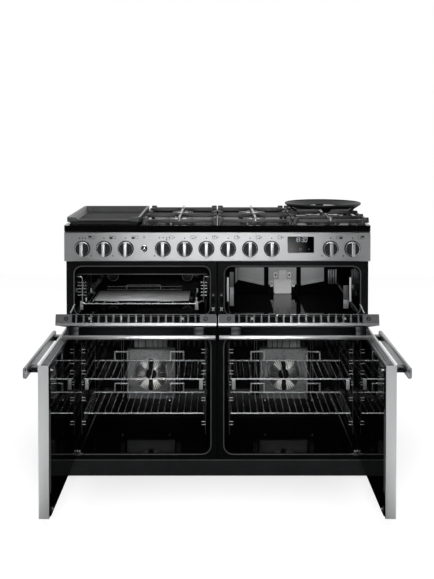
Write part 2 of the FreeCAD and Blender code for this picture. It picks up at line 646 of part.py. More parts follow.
def burners():
    """The burner bodies, with a ring of flame slots, and their loose caps."""
    bodies = []
    caps = []
    for x, y, radius in burner_places()[1:]:
        head = rod((x, y, TROUGH), "z", radius, "burner_head_height")
        foot = rod((x, y, TROUGH), "z", "%s + burner_skirt" % radius, "burner_head_height / 3")
        cup = rod((x, y, TROUGH + " - burner_cup_height"), "z", "burner_cup_radius", "burner_cup_height")
        tools = []
        count = int(size("flame_slots"))
        for number in range(count):
            slot = block(("-flame_slot / 2", "0", TROUGH + " + burner_head_height / 2"),
                         ("flame_slot", "%s + over" % radius, "burner_head_height"))
            turned_slot = group([slot], "slot")
            spin = FreeCAD.Rotation(FreeCAD.Vector(0, 0, 1), 360 * number / count)
            turned_slot.Placement = FreeCAD.Placement(FreeCAD.Vector(), spin)
            put(turned_slot, (x, y, "0"))
            tools.append(turned_slot)
        core = rod((x, y, TROUGH), "z", "%s - flame_slot_depth" % radius, "burner_head_height")
        bodies.append(join([cut(join([head, foot, cup]), tools), core]))
        caps.append(rod((x, y, TROUGH + " + burner_head_height"), "z", "%s + burner_cap_overhang" % radius,
                        "burner_cap_height"))
    x, y, radius = burner_places()[0]
    bar = rod((x, y, TROUGH + " + %s" % radius), "y", radius,
              "griddle_back - griddle_front - griddle_burner_inset * 2")
    flat = block(("%s - %s" % (x, radius), y, TROUGH),
                 (radius + " * 2", "griddle_back - griddle_front - griddle_burner_inset * 2", radius))
    keep = block(("%s - %s" % (x, radius), y, TROUGH),
                 (radius + " * 2", "griddle_back - griddle_front - griddle_burner_inset * 2",
                  "griddle_underside - lift_clearance - " + TROUGH))
    clipped = doc.addObject("Part::MultiCommon", fresh("clipped"))
    clipped.Shapes = [join([bar, flat]), keep]
    neck = rod((x, y, TROUGH + " - burner_cup_height"), "z", radius,
               "burner_cup_height + griddle_underside - lift_clearance - " + TROUGH)
    bodies.append(join([clipped, neck]))
    finish(group(bodies), "burner_bodies")
    finish(group(caps), "burner_caps")


def grate(low, high, burners_in, foot_inset="0"):
    """A cast pan support: a frame on four feet, cross bars, and raised fingers towards each burner."""
    bottom = "(grate_top - grate_bar_height)"
    deep = "grate_back - grate_front"
    wide = "(%s) - (%s)" % (high, low)
    half = "grate_bar_width / 2"
    bars = [
        block((low, "grate_front", bottom), ("grate_bar_width", deep, "grate_bar_height")),
        block(("%s - grate_bar_width" % high, "grate_front", bottom),
              ("grate_bar_width", deep, "grate_bar_height")),
    ]
    rows = ["grate_front + " + half, "grate_back - " + half]
    stops = ["grate_front", "grate_back"]
    if len(burners_in) > 1:
        rows.append("(grate_front + grate_back) / 2")
        stops.insert(1, "(grate_front + grate_back) / 2")
    else:
        rows += ["(%s + %s) / 2" % (burners_in[0][1], end) for end in stops]
    for row in rows:
        bars.append(block((low, "%s - %s" % (row, half), bottom),
                          (wide, "grate_bar_width", "grate_bar_height")))
        for x in (low, "%s - grate_pad_length" % high):
            bars.append(block((x, "%s - %s" % (row, half), bottom),
                              ("grate_pad_length", "grate_bar_width", "finger_top - " + bottom)))
    level = "(finger_top - finger_height)"
    for (x, y, radius), near, far in zip(burners_in, stops, stops[1:]):
        bars.append(block((low, "%s - %s" % (y, half), level),
                          ("%s - finger_gap - (%s)" % (x, low), "grate_bar_width", "finger_height")))
        bars.append(block(("%s + finger_gap" % x, "%s - %s" % (y, half), level),
                          ("%s - (%s + finger_gap)" % (high, x), "grate_bar_width", "finger_height")))
        bars.append(block(("%s - %s" % (x, half), near, level),
                          ("grate_bar_width", "%s - finger_gap - %s" % (y, near), "finger_height")))
        bars.append(block(("%s - %s" % (x, half), "%s + finger_gap" % y, level),
                          ("grate_bar_width", "%s - (%s + finger_gap)" % (far, y), "finger_height")))
    for x in (low, "%s - %s - grate_foot" % (high, foot_inset)):
        for y in ("grate_front", "grate_back - grate_foot"):
            bars.append(block((x, y, TROUGH), ("grate_foot", "grate_foot", "grate_top - %s" % TROUGH)))
    return join(bars)


def pan_supports():
    """The two double pan supports and the wok burner's, whose outer end overhangs the hob's rim."""
    places = burner_places()
    low = "-section_width + grate_gap"
    left = grate(low, "-grate_gap", (places[1], places[2]))
    right = grate("grate_gap", "section_width - grate_gap", (places[4], places[3]))
    wok = grate("section_width + grate_gap", HALF + " - grate_overhang", (places[5],), "trough_rim")
    finish(group([left, right, wok]), "pan_supports")


def griddle():
    """The cast griddle: a tray hung in a skirted rim with a low front lip, on four feet."""
    wide = "griddle_outer - griddle_inner"
    deep = "griddle_back - griddle_front"
    x = "-griddle_outer"
    plate = block((x, "griddle_front", "griddle_skirt"), (wide, deep, "griddle_top - griddle_skirt"))
    plate = rounded(plate, "z", "griddle_round")

    def inset(amount, low, high):
        """A rounded block that stands in from the rim by an amount on every side."""
        shape = block(("%s + %s" % (x, amount), "griddle_front + " + amount, low),
                      ("%s - (%s) * 2" % (wide, amount), "%s - (%s) * 2" % (deep, amount),
                       "%s - (%s)" % (high, low)))
        return rounded(shape, "z", "griddle_round")

    well = inset("(griddle_rim + griddle_step)", "griddle_floor", "griddle_top + over")
    step = inset("griddle_rim", "griddle_step_top", "griddle_top + over")
    tub = inset("(griddle_step + griddle_rim / 3)", "griddle_underside", "griddle_step_top")
    lip = block((x + " + griddle_lip_inset", "griddle_front - over", "griddle_top - griddle_lip_drop"),
                (wide + " - griddle_lip_inset * 2", "griddle_rim + over * 2", "griddle_lip_drop + over"))
    feet = []
    foot_low = TROUGH + " + lift_clearance"
    for side in ("-griddle_outer + griddle_foot_inset", "-griddle_inner - griddle_foot_inset - griddle_foot"):
        for place in ("griddle_front + griddle_foot_inset",
                      "griddle_back - griddle_foot_inset - griddle_foot"):
            feet.append(block((side, place, foot_low),
                              ("griddle_foot", "griddle_foot", "griddle_floor - (%s)" % foot_low)))
    finish(join([cut(join([plate, tub]), [well, step, lip])] + feet), "griddle")


def wok_cradle():
    """The cast wok ring: a rim, a dished wall under it and four legs that lean inwards."""
    body = body_named("wok_cradle_body")
    sketch = sketch_on(body, "XZ_Plane")
    foot = "finger_top + lift_clearance"
    low = "(wok_rim_top - wok_rim_height)"
    outline(sketch, [
        ("wok_foot_radius - wok_foot_width", foot), ("wok_foot_radius", foot),
        ("wok_foot_radius + wok_foot_width / 2", foot + " + wok_foot_height"),
        ("wok_rim_radius", low), ("wok_rim_radius", "wok_rim_top"),
        ("wok_rim_radius - wok_rim_width", "wok_rim_top"), ("wok_rim_radius - wok_rim_width", low),
        ("wok_foot_radius - wok_foot_width", foot + " + wok_foot_height")])
    turned(body, sketch)
    tools = []
    legs = int(size("wok_legs"))
    for turn in range(legs):
        for across in (-1, 1):
            start, wide = side_span(across, "wok_leg_width / 2", "wok_rim_radius * 2 / 3")
            slot = block((start, "wok_leg_slot", foot + " - over"),
                         (wide, "wok_rim_radius", "wok_dish_low - (%s) + over" % foot))
            spun = group([slot], "slot")
            spun.Placement = FreeCAD.Placement(
                FreeCAD.Vector(), FreeCAD.Rotation(FreeCAD.Vector(0, 0, 1), 360 * turn / legs))
            tools.append(spun)
    finish(cut(body, tools), "wok_cradle", ("wok_place", "wok_depth", "0"))


def wire(points, radius):
    """Straight wires between points that differ along one axis."""
    wires = []
    for here, there in zip(points, points[1:]):
        for axis, low, high in zip("xyz", here, there):
            first, last = worked_out(low), worked_out(high)
            if abs(first - last) > 1e-6:
                start, end = (here, there) if first < last else (there, here)
                spot = "xyz".index(axis)
                wires.append(rod(start, axis, radius, "(%s) - (%s)" % (end[spot], start[spot])))
    return wires


def knee(spot, radius):
    """The ball that rounds a wire's corner."""
    item = doc.addObject("Part::Sphere", fresh("knee"))
    bind(item, "Radius", radius)
    return put(item, spot)


def ladder(wall, inward, levels, top, back, studs):
    """A wire rack on one side wall: two posts on studs, and rungs that stand off them."""
    rung = "%s + %d * rack_gap" % (wall, inward)
    post = "%s + %d * (rack_gap - rack_post_gap)" % (wall, inward)
    parts = []
    for depth in ("rack_front", back):
        parts.append(rod((post, depth, studs[0] + " - rack_margin"), "z", "rack_post_radius",
                         "%s - (%s) + rack_margin * 2" % (top, studs[0])))
        for level in studs:
            low, high = (wall, post) if inward > 0 else (post, wall)
            parts.append(rod((low, depth, level), "x", "rack_post_radius", "(%s) - (%s)" % (high, low)))
    for level in levels:
        parts += wire([(post, "rack_front", level), (rung, "rack_front", level), (rung, back, level),
                       (post, back, level)], "rung_radius")
    return join(parts)


def rack_level(number):
    return "(rack_first + %d * rack_pitch)" % number


def side_racks():
    """The wire ladders in both ovens and in the grill, and the rails that the grill pan slides on."""
    racks = []
    for side, word in SIDES:
        levels = []
        for number in range(int(size("rack_levels"))):
            levels += [rack_level(number), rack_level(number) + " + rack_pair"]
        for wall, inward in (("%d * lower_inner" % side, side), ("%d * lower_outer" % side, -side)):
            last = levels[-1]
            racks.append(ladder(wall, inward, levels, last, "rack_back", (levels[0], last)))
    levels = ["(grill_rack_first + %d * grill_rack_pitch)" % n for n in range(int(size("grill_rungs")))]
    for wall, inward in (("-upper_inner", -1), ("-upper_outer", 1)):
        racks.append(ladder(wall, inward, levels, levels[-1], "grill_rack_back", (levels[0], levels[-1])))
        x, wide = (wall, "runner_width") if inward > 0 else (wall + " - runner_width", "runner_width")
        shelf_top = "pan_rim - pan_wall - runner_clearance"
        shelf = block((x, "runner_front", shelf_top + " - runner_wall"),
                      (wide, "grill_rack_back - runner_front", "runner_wall"))
        edge = x if inward < 0 else "%s + %s - runner_wall" % (x, wide)
        apron = block((edge, "runner_front", shelf_top + " - runner_height"),
                      ("runner_wall", "runner_width", "runner_height"))
        racks.append(join([shelf, apron]))
    finish(group(racks), "side_racks")


def shelves():
    """Two wire shelves in each oven, each between the two wires of a rack level."""
    for side, word in SIDES:
        for name, alias in (("lower", "low_shelf_level"), ("upper", "high_shelf_level")):
            level = rack_level(int(size(alias)))
            z = level + " + rung_radius + shelf_clearance + shelf_wire_radius"
            inner = "%d * (lower_inner + rack_gap)" % side
            outer = "%d * (lower_outer - rack_gap)" % side
            low, high = (inner, outer) if side > 0 else (outer, inner)
            parts = wire([(low, "shelf_front", z), (high, "shelf_front", z), (high, "shelf_back", z),
                          (low, "shelf_back", z), (low, "shelf_front", z)], "shelf_wire_radius")
            for x in (low, high):
                for y in ("shelf_front", "shelf_back"):
                    parts.append(knee((x, y, z), "shelf_wire_radius"))
            count = int(size("shelf_rods"))
            for number in range(1, count + 1):
                x = "%s + (%s - (%s)) * %d / %d" % (low, high, low, number, count + 1)
                parts.append(rod((x, "shelf_front", z), "y", "shelf_rod_radius", "shelf_back - shelf_front"))
            middle = "%d * (lower_inner + lower_outer) / 2" % side
            for across in (-1, 1):
                ends = ["%s + %d * shelf_arch_place + (%s) * shelf_arch_width" % (middle, across, share)
                        for share in ("-1 / 2", "1 / 2")]
                top = z + " + shelf_arch_rise"
                parts += wire([(ends[0], "shelf_back", z), (ends[0], "shelf_back", top),
                               (ends[1], "shelf_back", top), (ends[1], "shelf_back", z)], "shelf_wire_radius")
                parts += [knee((end, "shelf_back", top), "shelf_wire_radius") for end in ends]
            finish(join(parts), "%s_%s_shelf" % (word, name))


def grill_pan():
    """The grill pan: a shallow tray with wide lips that ride on the rails, a front rail and a
    wire handle that stands at its back."""
    middle = "-(upper_inner + upper_outer) / 2"
    low = "%s - pan_width / 2" % middle
    tray = block((low, "pan_front", "pan_bottom"), ("pan_width", "pan_length", "pan_rim - pan_bottom"))
    hollow = block((low + " + pan_wall", "pan_front + pan_wall", "pan_bottom + pan_wall"),
                   ("pan_width - pan_wall * 2", "pan_length - pan_wall * 2", "pan_rim - pan_bottom"))
    plate = block((low + " - pan_lip", "pan_front", "pan_rim - pan_wall"),
                  ("pan_width + pan_lip * 2", "pan_length", "pan_wall"))
    rim = block((low + " + pan_wall", "pan_front + pan_wall", "pan_rim - pan_wall - over"),
                ("pan_width - pan_wall * 2", "pan_length - pan_wall * 2", "pan_wall + over * 2"))
    back = "pan_front + pan_length - pan_wall / 2"
    rise = "pan_rim + pan_handle_rise"
    handle = wire([("%s - pan_handle_width / 2" % middle, back, "pan_rim - pan_wall"),
                   ("%s - pan_handle_width / 2" % middle, back, rise),
                   ("%s + pan_handle_width / 2" % middle, back, rise),
                   ("%s + pan_handle_width / 2" % middle, back, "pan_rim - pan_wall")],
                  "pan_handle_radius")
    for across in (-1, 1):
        spot = ("%s + %d * pan_handle_width / 2" % (middle, across), back, rise)
        handle.append(knee(spot, "pan_handle_radius"))
    z = "pan_rim + pan_rail_radius / 2"
    rail = wire([(low + " - pan_lip / 2", "pan_front + pan_rail_radius", z),
                 (low + " - pan_lip / 2", "pan_rail_front", z),
                 (low + " + pan_width + pan_lip / 2", "pan_rail_front", z),
                 (low + " + pan_width + pan_lip / 2", "pan_front + pan_rail_radius", z)], "pan_rail_radius")
    for x in (low + " - pan_lip / 2", low + " + pan_width + pan_lip / 2"):
        rail.append(knee((x, "pan_rail_front", z), "pan_rail_radius"))
    finish(join([cut(tray, [hollow]), cut(plate, [rim])] + handle + rail), "grill_pan")


def fan_covers():
    """The baffle over each fan: a shallow box with a wire grille in its round mouth."""
    covers = []
    for side, word in SIDES:
        x = "%d * fan_place" % side
        front = "cavity_back - cover_depth"
        outer = block((x + " - cover_width / 2", front, "fan_height - cover_height / 2"),
                      ("cover_width", "cover_depth", "cover_height"))
        inner = block((x + " - cover_width / 2 + cover_wall", front + " + cover_wall",
                       "fan_height - cover_height / 2 + cover_wall"),
                      ("cover_width - cover_wall * 2", "cover_depth", "cover_height - cover_wall * 2"))
        hole = rod((x, front + " - over", "fan_height"), "y", "grille_radius", "cover_wall + over * 2")
        parts = [cut(outer, [inner, hole])]
        count = int(math.floor(size("grille_radius") / size("grille_pitch")))
        for number in range(1, count + 1):
            parts.append(washer((x, front, "fan_height"), "grille_radius * %d / %d" % (number, count),
                                "grille_wire_radius", "cover_wall"))
        for spin in range(int(size("cover_spokes"))):
            spoke = block(("-grille_radius", "0", "-grille_wire_radius"),
                          ("grille_radius * 2", "cover_wall", "grille_wire_radius * 2"))
            holder = group([spoke], "spoke")
            turn = FreeCAD.Rotation(FreeCAD.Vector(0, 1, 0), 180 * spin / size("cover_spokes"))
            holder.Placement = FreeCAD.Placement(FreeCAD.Vector(), turn)
            parts.append(put(holder, (x, front, "fan_height")))
        covers.append(join(parts))
    finish(group(covers), "fan_covers")


def fan_front():
    """Where the fan's blades start, measured from the panel."""
    return "(cavity_back - fan_gap - fan_depth)"


def oven_fans():
    """Each oven's fan: a hub on the motor's shaft, a back disc and straight blades."""
    for side, word in SIDES:
        hub = rod(("0", "0", "0"), "y", "fan_hub_radius", "fan_depth")
        disc = rod(("0", "fan_depth - fan_disc", "0"), "y", "fan_radius", "fan_disc")
        parts = [hub, disc]
        for number in range(int(size("fan_blades"))):
            blade = block(("fan_hub_radius - fan_hub_wall", "0", "-fan_blade / 2"),
                          ("fan_radius - fan_hub_radius", "fan_depth", "fan_blade"))
            holder = group([blade], "blade")
            turn = FreeCAD.Rotation(FreeCAD.Vector(0, 1, 0), 360 * number / size("fan_blades"))
            holder.Placement = FreeCAD.Placement(FreeCAD.Vector(), turn)
            parts.append(holder)
        bore = rod(("0", "fan_hub_wall", "0"), "y", "fan_shaft_radius + running_clearance", "fan_depth")
        finish(cut(join(parts), [bore]), word + "_oven_fan",
               ("%d * fan_place" % side, fan_front(), "fan_height"))


def fan_motors():
    motors = []
    for side, word in SIDES:
        x = "%d * fan_place" % side
        back = "cavity_back + cavity_wall"
        start = fan_front() + " + fan_hub_wall + running_clearance * 4"
        parts = [
            rod((x, start, "fan_height"), "y", "fan_shaft_radius", "%s + motor_plate - (%s)" % (back, start)),
            block((x + " - motor_radius", back, "fan_height - motor_radius"),
                  ("motor_radius * 2", "motor_plate", "motor_radius * 2")),
            rod((x, back, "fan_height"), "y", "motor_radius * 3 / 4", "motor_depth"),
        ]
        motors.append(join(parts))
    finish(group(motors), "fan_motors")


def bent_rod(side, z):
    """One grill element: a round rod on a path of four straight runs joined by half turns."""
    near = size("grill_element_front")
    far = near + size("grill_element_reach")
    wall = size("cavity_back")
    bend = size("grill_element_pitch")
    middle = side * (size("upper_inner") + size("upper_outer")) / 2
    runs = [middle + share * bend * 2 for share in GRILL_RUN_SHARES]
    ends = [(wall, near), (near, far), (far, near), (near, wall)]
    edges = []
    for number, (x, (start, end)) in enumerate(zip(runs, ends)):
        edges.append(Part.LineSegment(FreeCAD.Vector(x, start, z), FreeCAD.Vector(x, end, z)).toShape())
        if number + 1 < len(runs):
            way = 1 if end > start else -1
            top = FreeCAD.Vector(x + bend, end + way * bend, z)
            after = FreeCAD.Vector(runs[number + 1], end, z)
            edges.append(Part.Arc(FreeCAD.Vector(x, end, z), top, after).toShape())
    start = FreeCAD.Vector(runs[0], wall, z)
    circle_edge = Part.Circle(start, FreeCAD.Vector(0, 1, 0), size("element_radius"))
    item = doc.addObject("Part::Feature", fresh("bent_rod"))
    item.Shape = Part.Wire(edges).makePipeShell([Part.Wire([circle_edge.toShape()])], True, False)
    return item


def heating_elements():
    """The ring round each fan and the bent grill rods under the grill's roof."""
    elements = []
    for side, word in SIDES:
        x = "%d * fan_place" % side
        middle = "cavity_back - cover_depth / 2"
        turn = size("ring_element_turn")
        spin = (360 - turn) / 2 + 90
        parts = [ring((x, middle, "fan_height"), "y", "ring_element_radius", "element_radius",
                      angle=turn, spin=spin)]
        for across in (-1, 1):
            swing = math.radians((360 - turn) / 2)
            shares = (across * math.sin(swing), -math.cos(swing))
            spot = ("%s + (%.6f) * ring_element_radius" % (x, shares[0]), middle + " - element_radius",
                    "fan_height + (%.6f) * ring_element_radius" % shares[1])
            parts.append(rod(spot, "y", "element_radius + element_sleeve",
                             "cover_depth / 2 + element_radius"))
        elements.append(join(parts, refine=False))
    elements.append(bent_rod(SIDES[0][0], size("upper_roof") - size("grill_element_drop")))
    finish(group(elements), "heating_elements")


def cavity_vent():
    """The bright vent plate on the top oven's back wall: a neck, a body and four screwed ears."""
    z = "upper_floor"
    front = "cavity_back - flue_depth"
    body = block(("flue_place - flue_width / 2", front, z), ("flue_width", "flue_depth", "flue_height"))
    body = rounded(body, "y", "flue_ear_radius")
    neck = block(("flue_place - flue_neck_width / 2", front, z + " + flue_height / 2"),
                 ("flue_neck_width", "flue_depth", "flue_height / 2 + flue_neck_height"))
    parts = [body, neck]
    holes = []
    for across in (-1, 1):
        for height in ("flue_height / 3", "flue_height"):
            x = "flue_place + %d * flue_width / 2" % across
            depth = "cavity_back - flue_hole_radius"
            parts.append(rod((x, depth, "%s + %s" % (z, height)), "y", "flue_ear_radius", "flue_hole_radius"))
            holes.append(rod((x, front + " - over", "%s + %s" % (z, height)), "y", "flue_hole_radius",
                             "flue_depth + over"))
    finish(cut(join(parts), holes), "cavity_vent")


def hinge_brackets():
    """The ears that carry the drop-down doors and the lugs that carry the side-hung doors,
    each with its pin."""
    pieces = []
    for side, word in SIDES:
        for edge, inward in ((DOOR_INNER, 1), (DOOR_OUTER, -1)):
            near = "%s + %d * ear_inset" % (edge, inward)
            far = "%s + %d * ear_width" % (near, inward)
            low, high = (near, far) if inward > 0 else (far, near)
            x, wide = side_span(side, low, high)
            arm = block((x, "upper_pin_depth", "upper_pin_height - ear_radius"),
                        (wide, "panel_setback - upper_pin_depth", "ear_radius * 2"))
            eye = rod((x, "upper_pin_depth", "upper_pin_height"), "x", "ear_radius", wide)
            end = "%s + %d * (ear_width + door_pin_length)" % (near, inward)
            low, high = (near, end) if inward > 0 else (end, near)
            x, wide = side_span(side, low, high)
            pin = rod((x, "upper_pin_depth", "upper_pin_height"), "x", "door_pin_radius", wide)
            pieces.append(join([arm, eye, pin]))
        for top in (False, True):
            if top:
                low = "lower_door_top - lug_thickness - lug_play"
                pin_low = low + " - door_pin_length"
            else:
                low = "lower_door_bottom - lug_thickness - lug_play"
                pin_low = low
            x = "%d * lower_pin_side" % side
            arm = block((x + " - lug_radius", "lower_pin_depth", low),
                        ("lug_radius * 2", "panel_setback - lower_pin_depth", "lug_thickness"))
            eye = rod((x, "lower_pin_depth", low), "z", "lug_radius", "lug_thickness")
            pin = rod((x, "lower_pin_depth", pin_low), "z", "door_pin_radius",
                      "lug_thickness + door_pin_length")
            pieces.append(join([arm, eye, pin]))
    finish(group(pieces), "hinge_brackets")


class Door:
    """One door, drawn shut in its own frame, whose origin is on its hinge pin."""

    def __init__(self, word, side, upper):
        self.name = "%s_%s_door" % ("upper" if upper else "lower", word)
        self.side = side
        self.upper = upper
        self.bottom = "upper_door_bottom" if upper else "lower_door_bottom"
        self.top = "upper_door_top" if upper else "lower_door_top"
        if upper:
            self.pin = ("0", "upper_pin_depth", "upper_pin_height")
            self.axis = FreeCAD.Vector(1, 0, 0)
            self.angle = "upper_open_angle"
        else:
            self.pin = ("%d * lower_pin_side" % side, "lower_pin_depth", "0")
            self.axis = FreeCAD.Vector(0, 0, side)
            self.angle = "lower_open_angle"

    def local(self, point):
        return tuple("%s - (%s)" % (text, pin) for text, pin in zip(point, self.pin))

    def slab(self, near, far, front, depth, low, high):
        """A block from two distances from the cooker's middle, a depth and two heights."""
        x, wide = side_span(self.side, near, far)
        return block(self.local((x, front, low)), (wide, depth, "(%s) - (%s)" % (high, low)))

    def hung(self, item, part):
        """The finished piece, turned open about the pin."""
        item.Placement = FreeCAD.Placement(FreeCAD.Vector(), FreeCAD.Rotation(self.axis, 1))
        finish(item, "%s_%s" % (self.name, part), self.pin)
        bind(item, "Placement.Rotation.Angle", self.angle)

    def hinge_cuts(self):
        """Room for the ears or lugs, and the bores that run on the pins."""
        tools = []
        bore = "door_pin_radius + running_clearance"
        if self.upper:
            for edge, inward in ((DOOR_INNER, 1), (DOOR_OUTER, -1)):
                out = "%s - %d * over" % (edge, inward)
                far = "%s + %d * ear_notch" % (edge, inward)
                reach = "(ear_inset + ear_width + door_pin_length + running_clearance * 4)"
                deep = "%s + %d * %s" % (edge, inward, reach)
                near, end = (out, far) if inward > 0 else (far, out)
                tools.append(self.slab(near, end, "door_wall", "door_depth", "upper_door_bottom - over",
                                       "upper_pin_height + ear_radius + ear_play"))
                near, end = (out, deep) if inward > 0 else (deep, out)
                x, wide = side_span(self.side, near, end)
                tools.append(rod(self.local((x, "upper_pin_depth", "upper_pin_height")), "x", bore, wide))
        else:
            notch = "lug_thickness + lug_play * 2"
            tools.append(self.slab("lower_pin_side - lug_radius - lug_play", DOOR_OUTER + " + over",
                                   "door_wall", "door_depth", self.top + " - (%s)" % notch,
                                   self.top + " + over"))
            spot = self.local((self.pin[0], self.pin[1], self.top + " - (%s) - door_pin_length" % notch))
            tools.append(rod(spot, "z", bore, "door_pin_length + over"))
            spot = self.local((self.pin[0], self.pin[1], self.bottom + " - over"))
            tools.append(rod(spot, "z", bore, "over + door_pin_length - lug_play + running_clearance * 4"))
        return tools

    def top_holes(self):
        """The cooling slots in the door's top edge."""
        tools = []
        middle = "(%s + %s) / 2" % (DOOR_INNER, DOOR_OUTER)
        if self.upper:
            count = int(size("door_slot_count"))
            rows = (("door_slot_near", "door_slot_far - door_slot_near"),)
            pitch, length = "door_slot_pitch", "door_slot_width"
        else:
            count = int(size("hole_count"))
            rows = (("hole_row_one", "hole_width"), ("hole_row_two", "hole_width"))
            pitch, length = "hole_pitch", "hole_length"
        spans = [("%s + (%s) * %s - %s / 2" % (middle, number - (count - 1) / 2, pitch, length), length)
                 for number in range(count)]
        if self.upper:
            edge = "(door_slot_pitch * (door_slot_count + 1) / 2 - door_slot_width / 2)"
            spans.append(("%s + %s" % (middle, edge), "door_half_slot"))
            spans.append(("%s - %s - door_half_slot" % (middle, edge), "door_half_slot"))
        for near, wide in spans:
            for front, depth in rows:
                tools.append(self.slab(near, "%s + %s" % (near, wide), front, depth,
                                       self.top + " - door_rail - over", self.top + " + over"))
        return tools

    def skin(self):
        """The outer pan: front sheet, edges and rails, with its window's hole on an oven door."""
        outer = self.slab(DOOR_INNER, DOOR_OUTER, "0", SKIN, self.bottom, self.top)
        doc.recompute()
        outer = rounded(outer, "z", "door_edge_round",
                        lambda edge: edge.CenterOfMass.y < worked_out("door_wall - (%s)" % self.pin[1]))
        tools = [self.slab(DOOR_INNER + " + door_rail", DOOR_OUTER + " - door_rail", "door_wall",
                           SKIN, self.bottom + " + door_rail", self.top + " - door_rail")]
        if not self.upper:
            tools.append(self.slab(DOOR_INNER + " + window_side", DOOR_OUTER + " - window_side", "-over",
                                   "door_wall + over * 2", self.bottom + " + window_bottom",
                                   self.top + " - window_top"))
        self.hung(cut(outer, tools + self.hinge_cuts() + self.top_holes()), "skin")

    def window(self):
        """The dark outer glass, bonded behind the window's hole."""
        pane = self.slab(DOOR_INNER + " + window_side - window_lap",
                         DOOR_OUTER + " - window_side + window_lap",
                         "door_wall", "window_glass", self.bottom + " + window_bottom - window_lap",
                         self.top + " - window_top + window_lap")
        self.hung(group([pane]), "window")

    def lining(self):
        """The inner glass, with a catch pin near an oven door's free edge."""
        pane = self.slab(DOOR_INNER + " + door_panel_inset", DOOR_OUTER + " - door_panel_inset", SKIN,
                         "door_panel_depth", self.bottom + " + door_panel_inset",
                         self.top + " - door_panel_inset")
        if self.upper:
            self.hung(cut(pane, self.hinge_cuts()), "lining")
            return
        spot = self.local(("%d * (%s + catch_place)" % (self.side, DOOR_INNER), SKIN,
                           self.top + " - catch_drop"))
        pin = rod(spot, "y", "catch_radius", "door_panel_depth + catch_length")
        self.hung(join([pane, pin]), "lining")

    def handle(self):
        """The flat-sided towel bar on two posts."""
        centre = self.top + " - bar_drop"
        x, wide = side_span(self.side, "bar_start", "bar_end")
        low = "%s - bar_height / 2 + bar_thickness / 2" % centre
        bars = [block(self.local((x, "-bar_projection", low)),
                      (wide, "bar_thickness", "bar_height - bar_thickness"))]
        for height in (low, "%s + bar_height / 2 - bar_thickness / 2" % centre):
            bars.append(rod(self.local((x, "-bar_projection + bar_thickness / 2", height)), "x",
                            "bar_thickness / 2", wide))
        for place in ("post_place", "post_far_place"):
            bars.append(self.slab("%s - post_width / 2" % place, "%s + post_width / 2" % place,
                                  "-bar_projection + bar_thickness / 2", "bar_projection - bar_thickness / 2",
                                  "%s - post_height / 2" % centre, "%s + post_height / 2" % centre))
        self.hung(join(bars), "handle")

    def build(self):
        self.skin()
        self.lining()
        self.handle()
        if not self.upper:
            self.window()


side_panels()
back_panel()
base_tray()
plinth()
levelling_feet()
front_frame()
cavities()
oven_lamps()
door_seals()
control_panel()
display_glass()
knobs()
light_button()
oven_switches()
gas_rail()
hob_top()
burners()
pan_supports()
griddle()
wok_cradle()
side_racks()
shelves()
grill_pan()
fan_covers()
oven_fans()
fan_motors()
heating_elements()
cavity_vent()
hinge_brackets()
for side, word in SIDES:
    for upper in (True, False):
        Door(word, side, upper).build()

doc.recompute()
faults = []
for item in doc.Objects:
    if "Invalid" in item.State or "Error" in item.State:
        faults.append("%s: %s" % (item.Label, item.State))
for item in NODES:
    if item.Shape.isNull() or not item.Shape.isValid():
        faults.append("%s: its shape is null or not valid" % item.Label)
if faults:
    raise RuntimeError("; ".join(faults))

os.makedirs("parts", exist_ok=True)
for item in NODES:
    item.Shape.exportStep("parts/%s.step" % item.Label)
print("%d sub-parts written" % len(NODES))
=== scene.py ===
import logging
import math
from dataclasses import dataclass, replace
from enum import Enum
from typing import Sequence

import bmesh
import bpy
from mathutils import Matrix, Vector


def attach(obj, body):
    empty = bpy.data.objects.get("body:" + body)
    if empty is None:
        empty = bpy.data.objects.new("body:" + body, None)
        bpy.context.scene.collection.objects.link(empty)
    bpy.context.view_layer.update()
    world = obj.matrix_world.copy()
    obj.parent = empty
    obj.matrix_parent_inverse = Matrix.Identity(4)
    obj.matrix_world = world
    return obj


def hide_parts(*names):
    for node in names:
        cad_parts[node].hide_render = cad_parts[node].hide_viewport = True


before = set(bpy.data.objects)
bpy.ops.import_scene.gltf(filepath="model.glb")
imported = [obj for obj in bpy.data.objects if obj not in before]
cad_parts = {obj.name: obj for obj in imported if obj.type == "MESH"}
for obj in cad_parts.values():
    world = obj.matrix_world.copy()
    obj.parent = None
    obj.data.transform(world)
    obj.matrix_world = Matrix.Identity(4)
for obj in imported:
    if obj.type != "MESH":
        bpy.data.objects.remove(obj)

LOG = logging.getLogger("range_cooker")
MM = 0.001
SHARP = math.radians(32)
SIDES = ((-1, "left"), (1, "right"))
FRONTWARDS = Matrix.Rotation(math.pi / 2, 4, "X")
BACKWARDS = Matrix.Rotation(-math.pi / 2, 4, "X")

# How far a trim stands off the surface that carries it, in millimetres.
SEAT = 0.02
# The widest angle, in degrees, that a lamp's light can fan out to.
OPEN_SPREAD = 180.0

Point = tuple[float, float, float]
Pair = tuple[float, float]
Colour = tuple[float, float, float, float]
Shape = bmesh.types.BMesh
Vert = bmesh.types.BMVert
Edge = bmesh.types.BMEdge
Tree = bpy.types.NodeTree
Socket = bpy.types.NodeSocket


def linear(hex_colour: str) -> Colour:
    """Turns an sRGB hex colour into linear light.

    Args:
        hex_colour: A colour such as "#1a2b3c".

    Returns:
        The linear red, green, blue and an alpha of one.
    """
    channels = [int(hex_colour[start:start + 2], 16) / 255 for start in (1, 3, 5)]
    red, green, blue = [c / 12.92 if c <= 0.04045 else ((c + 0.055) / 1.055) ** 2.4 for c in channels]
    return red, green, blue, 1.0


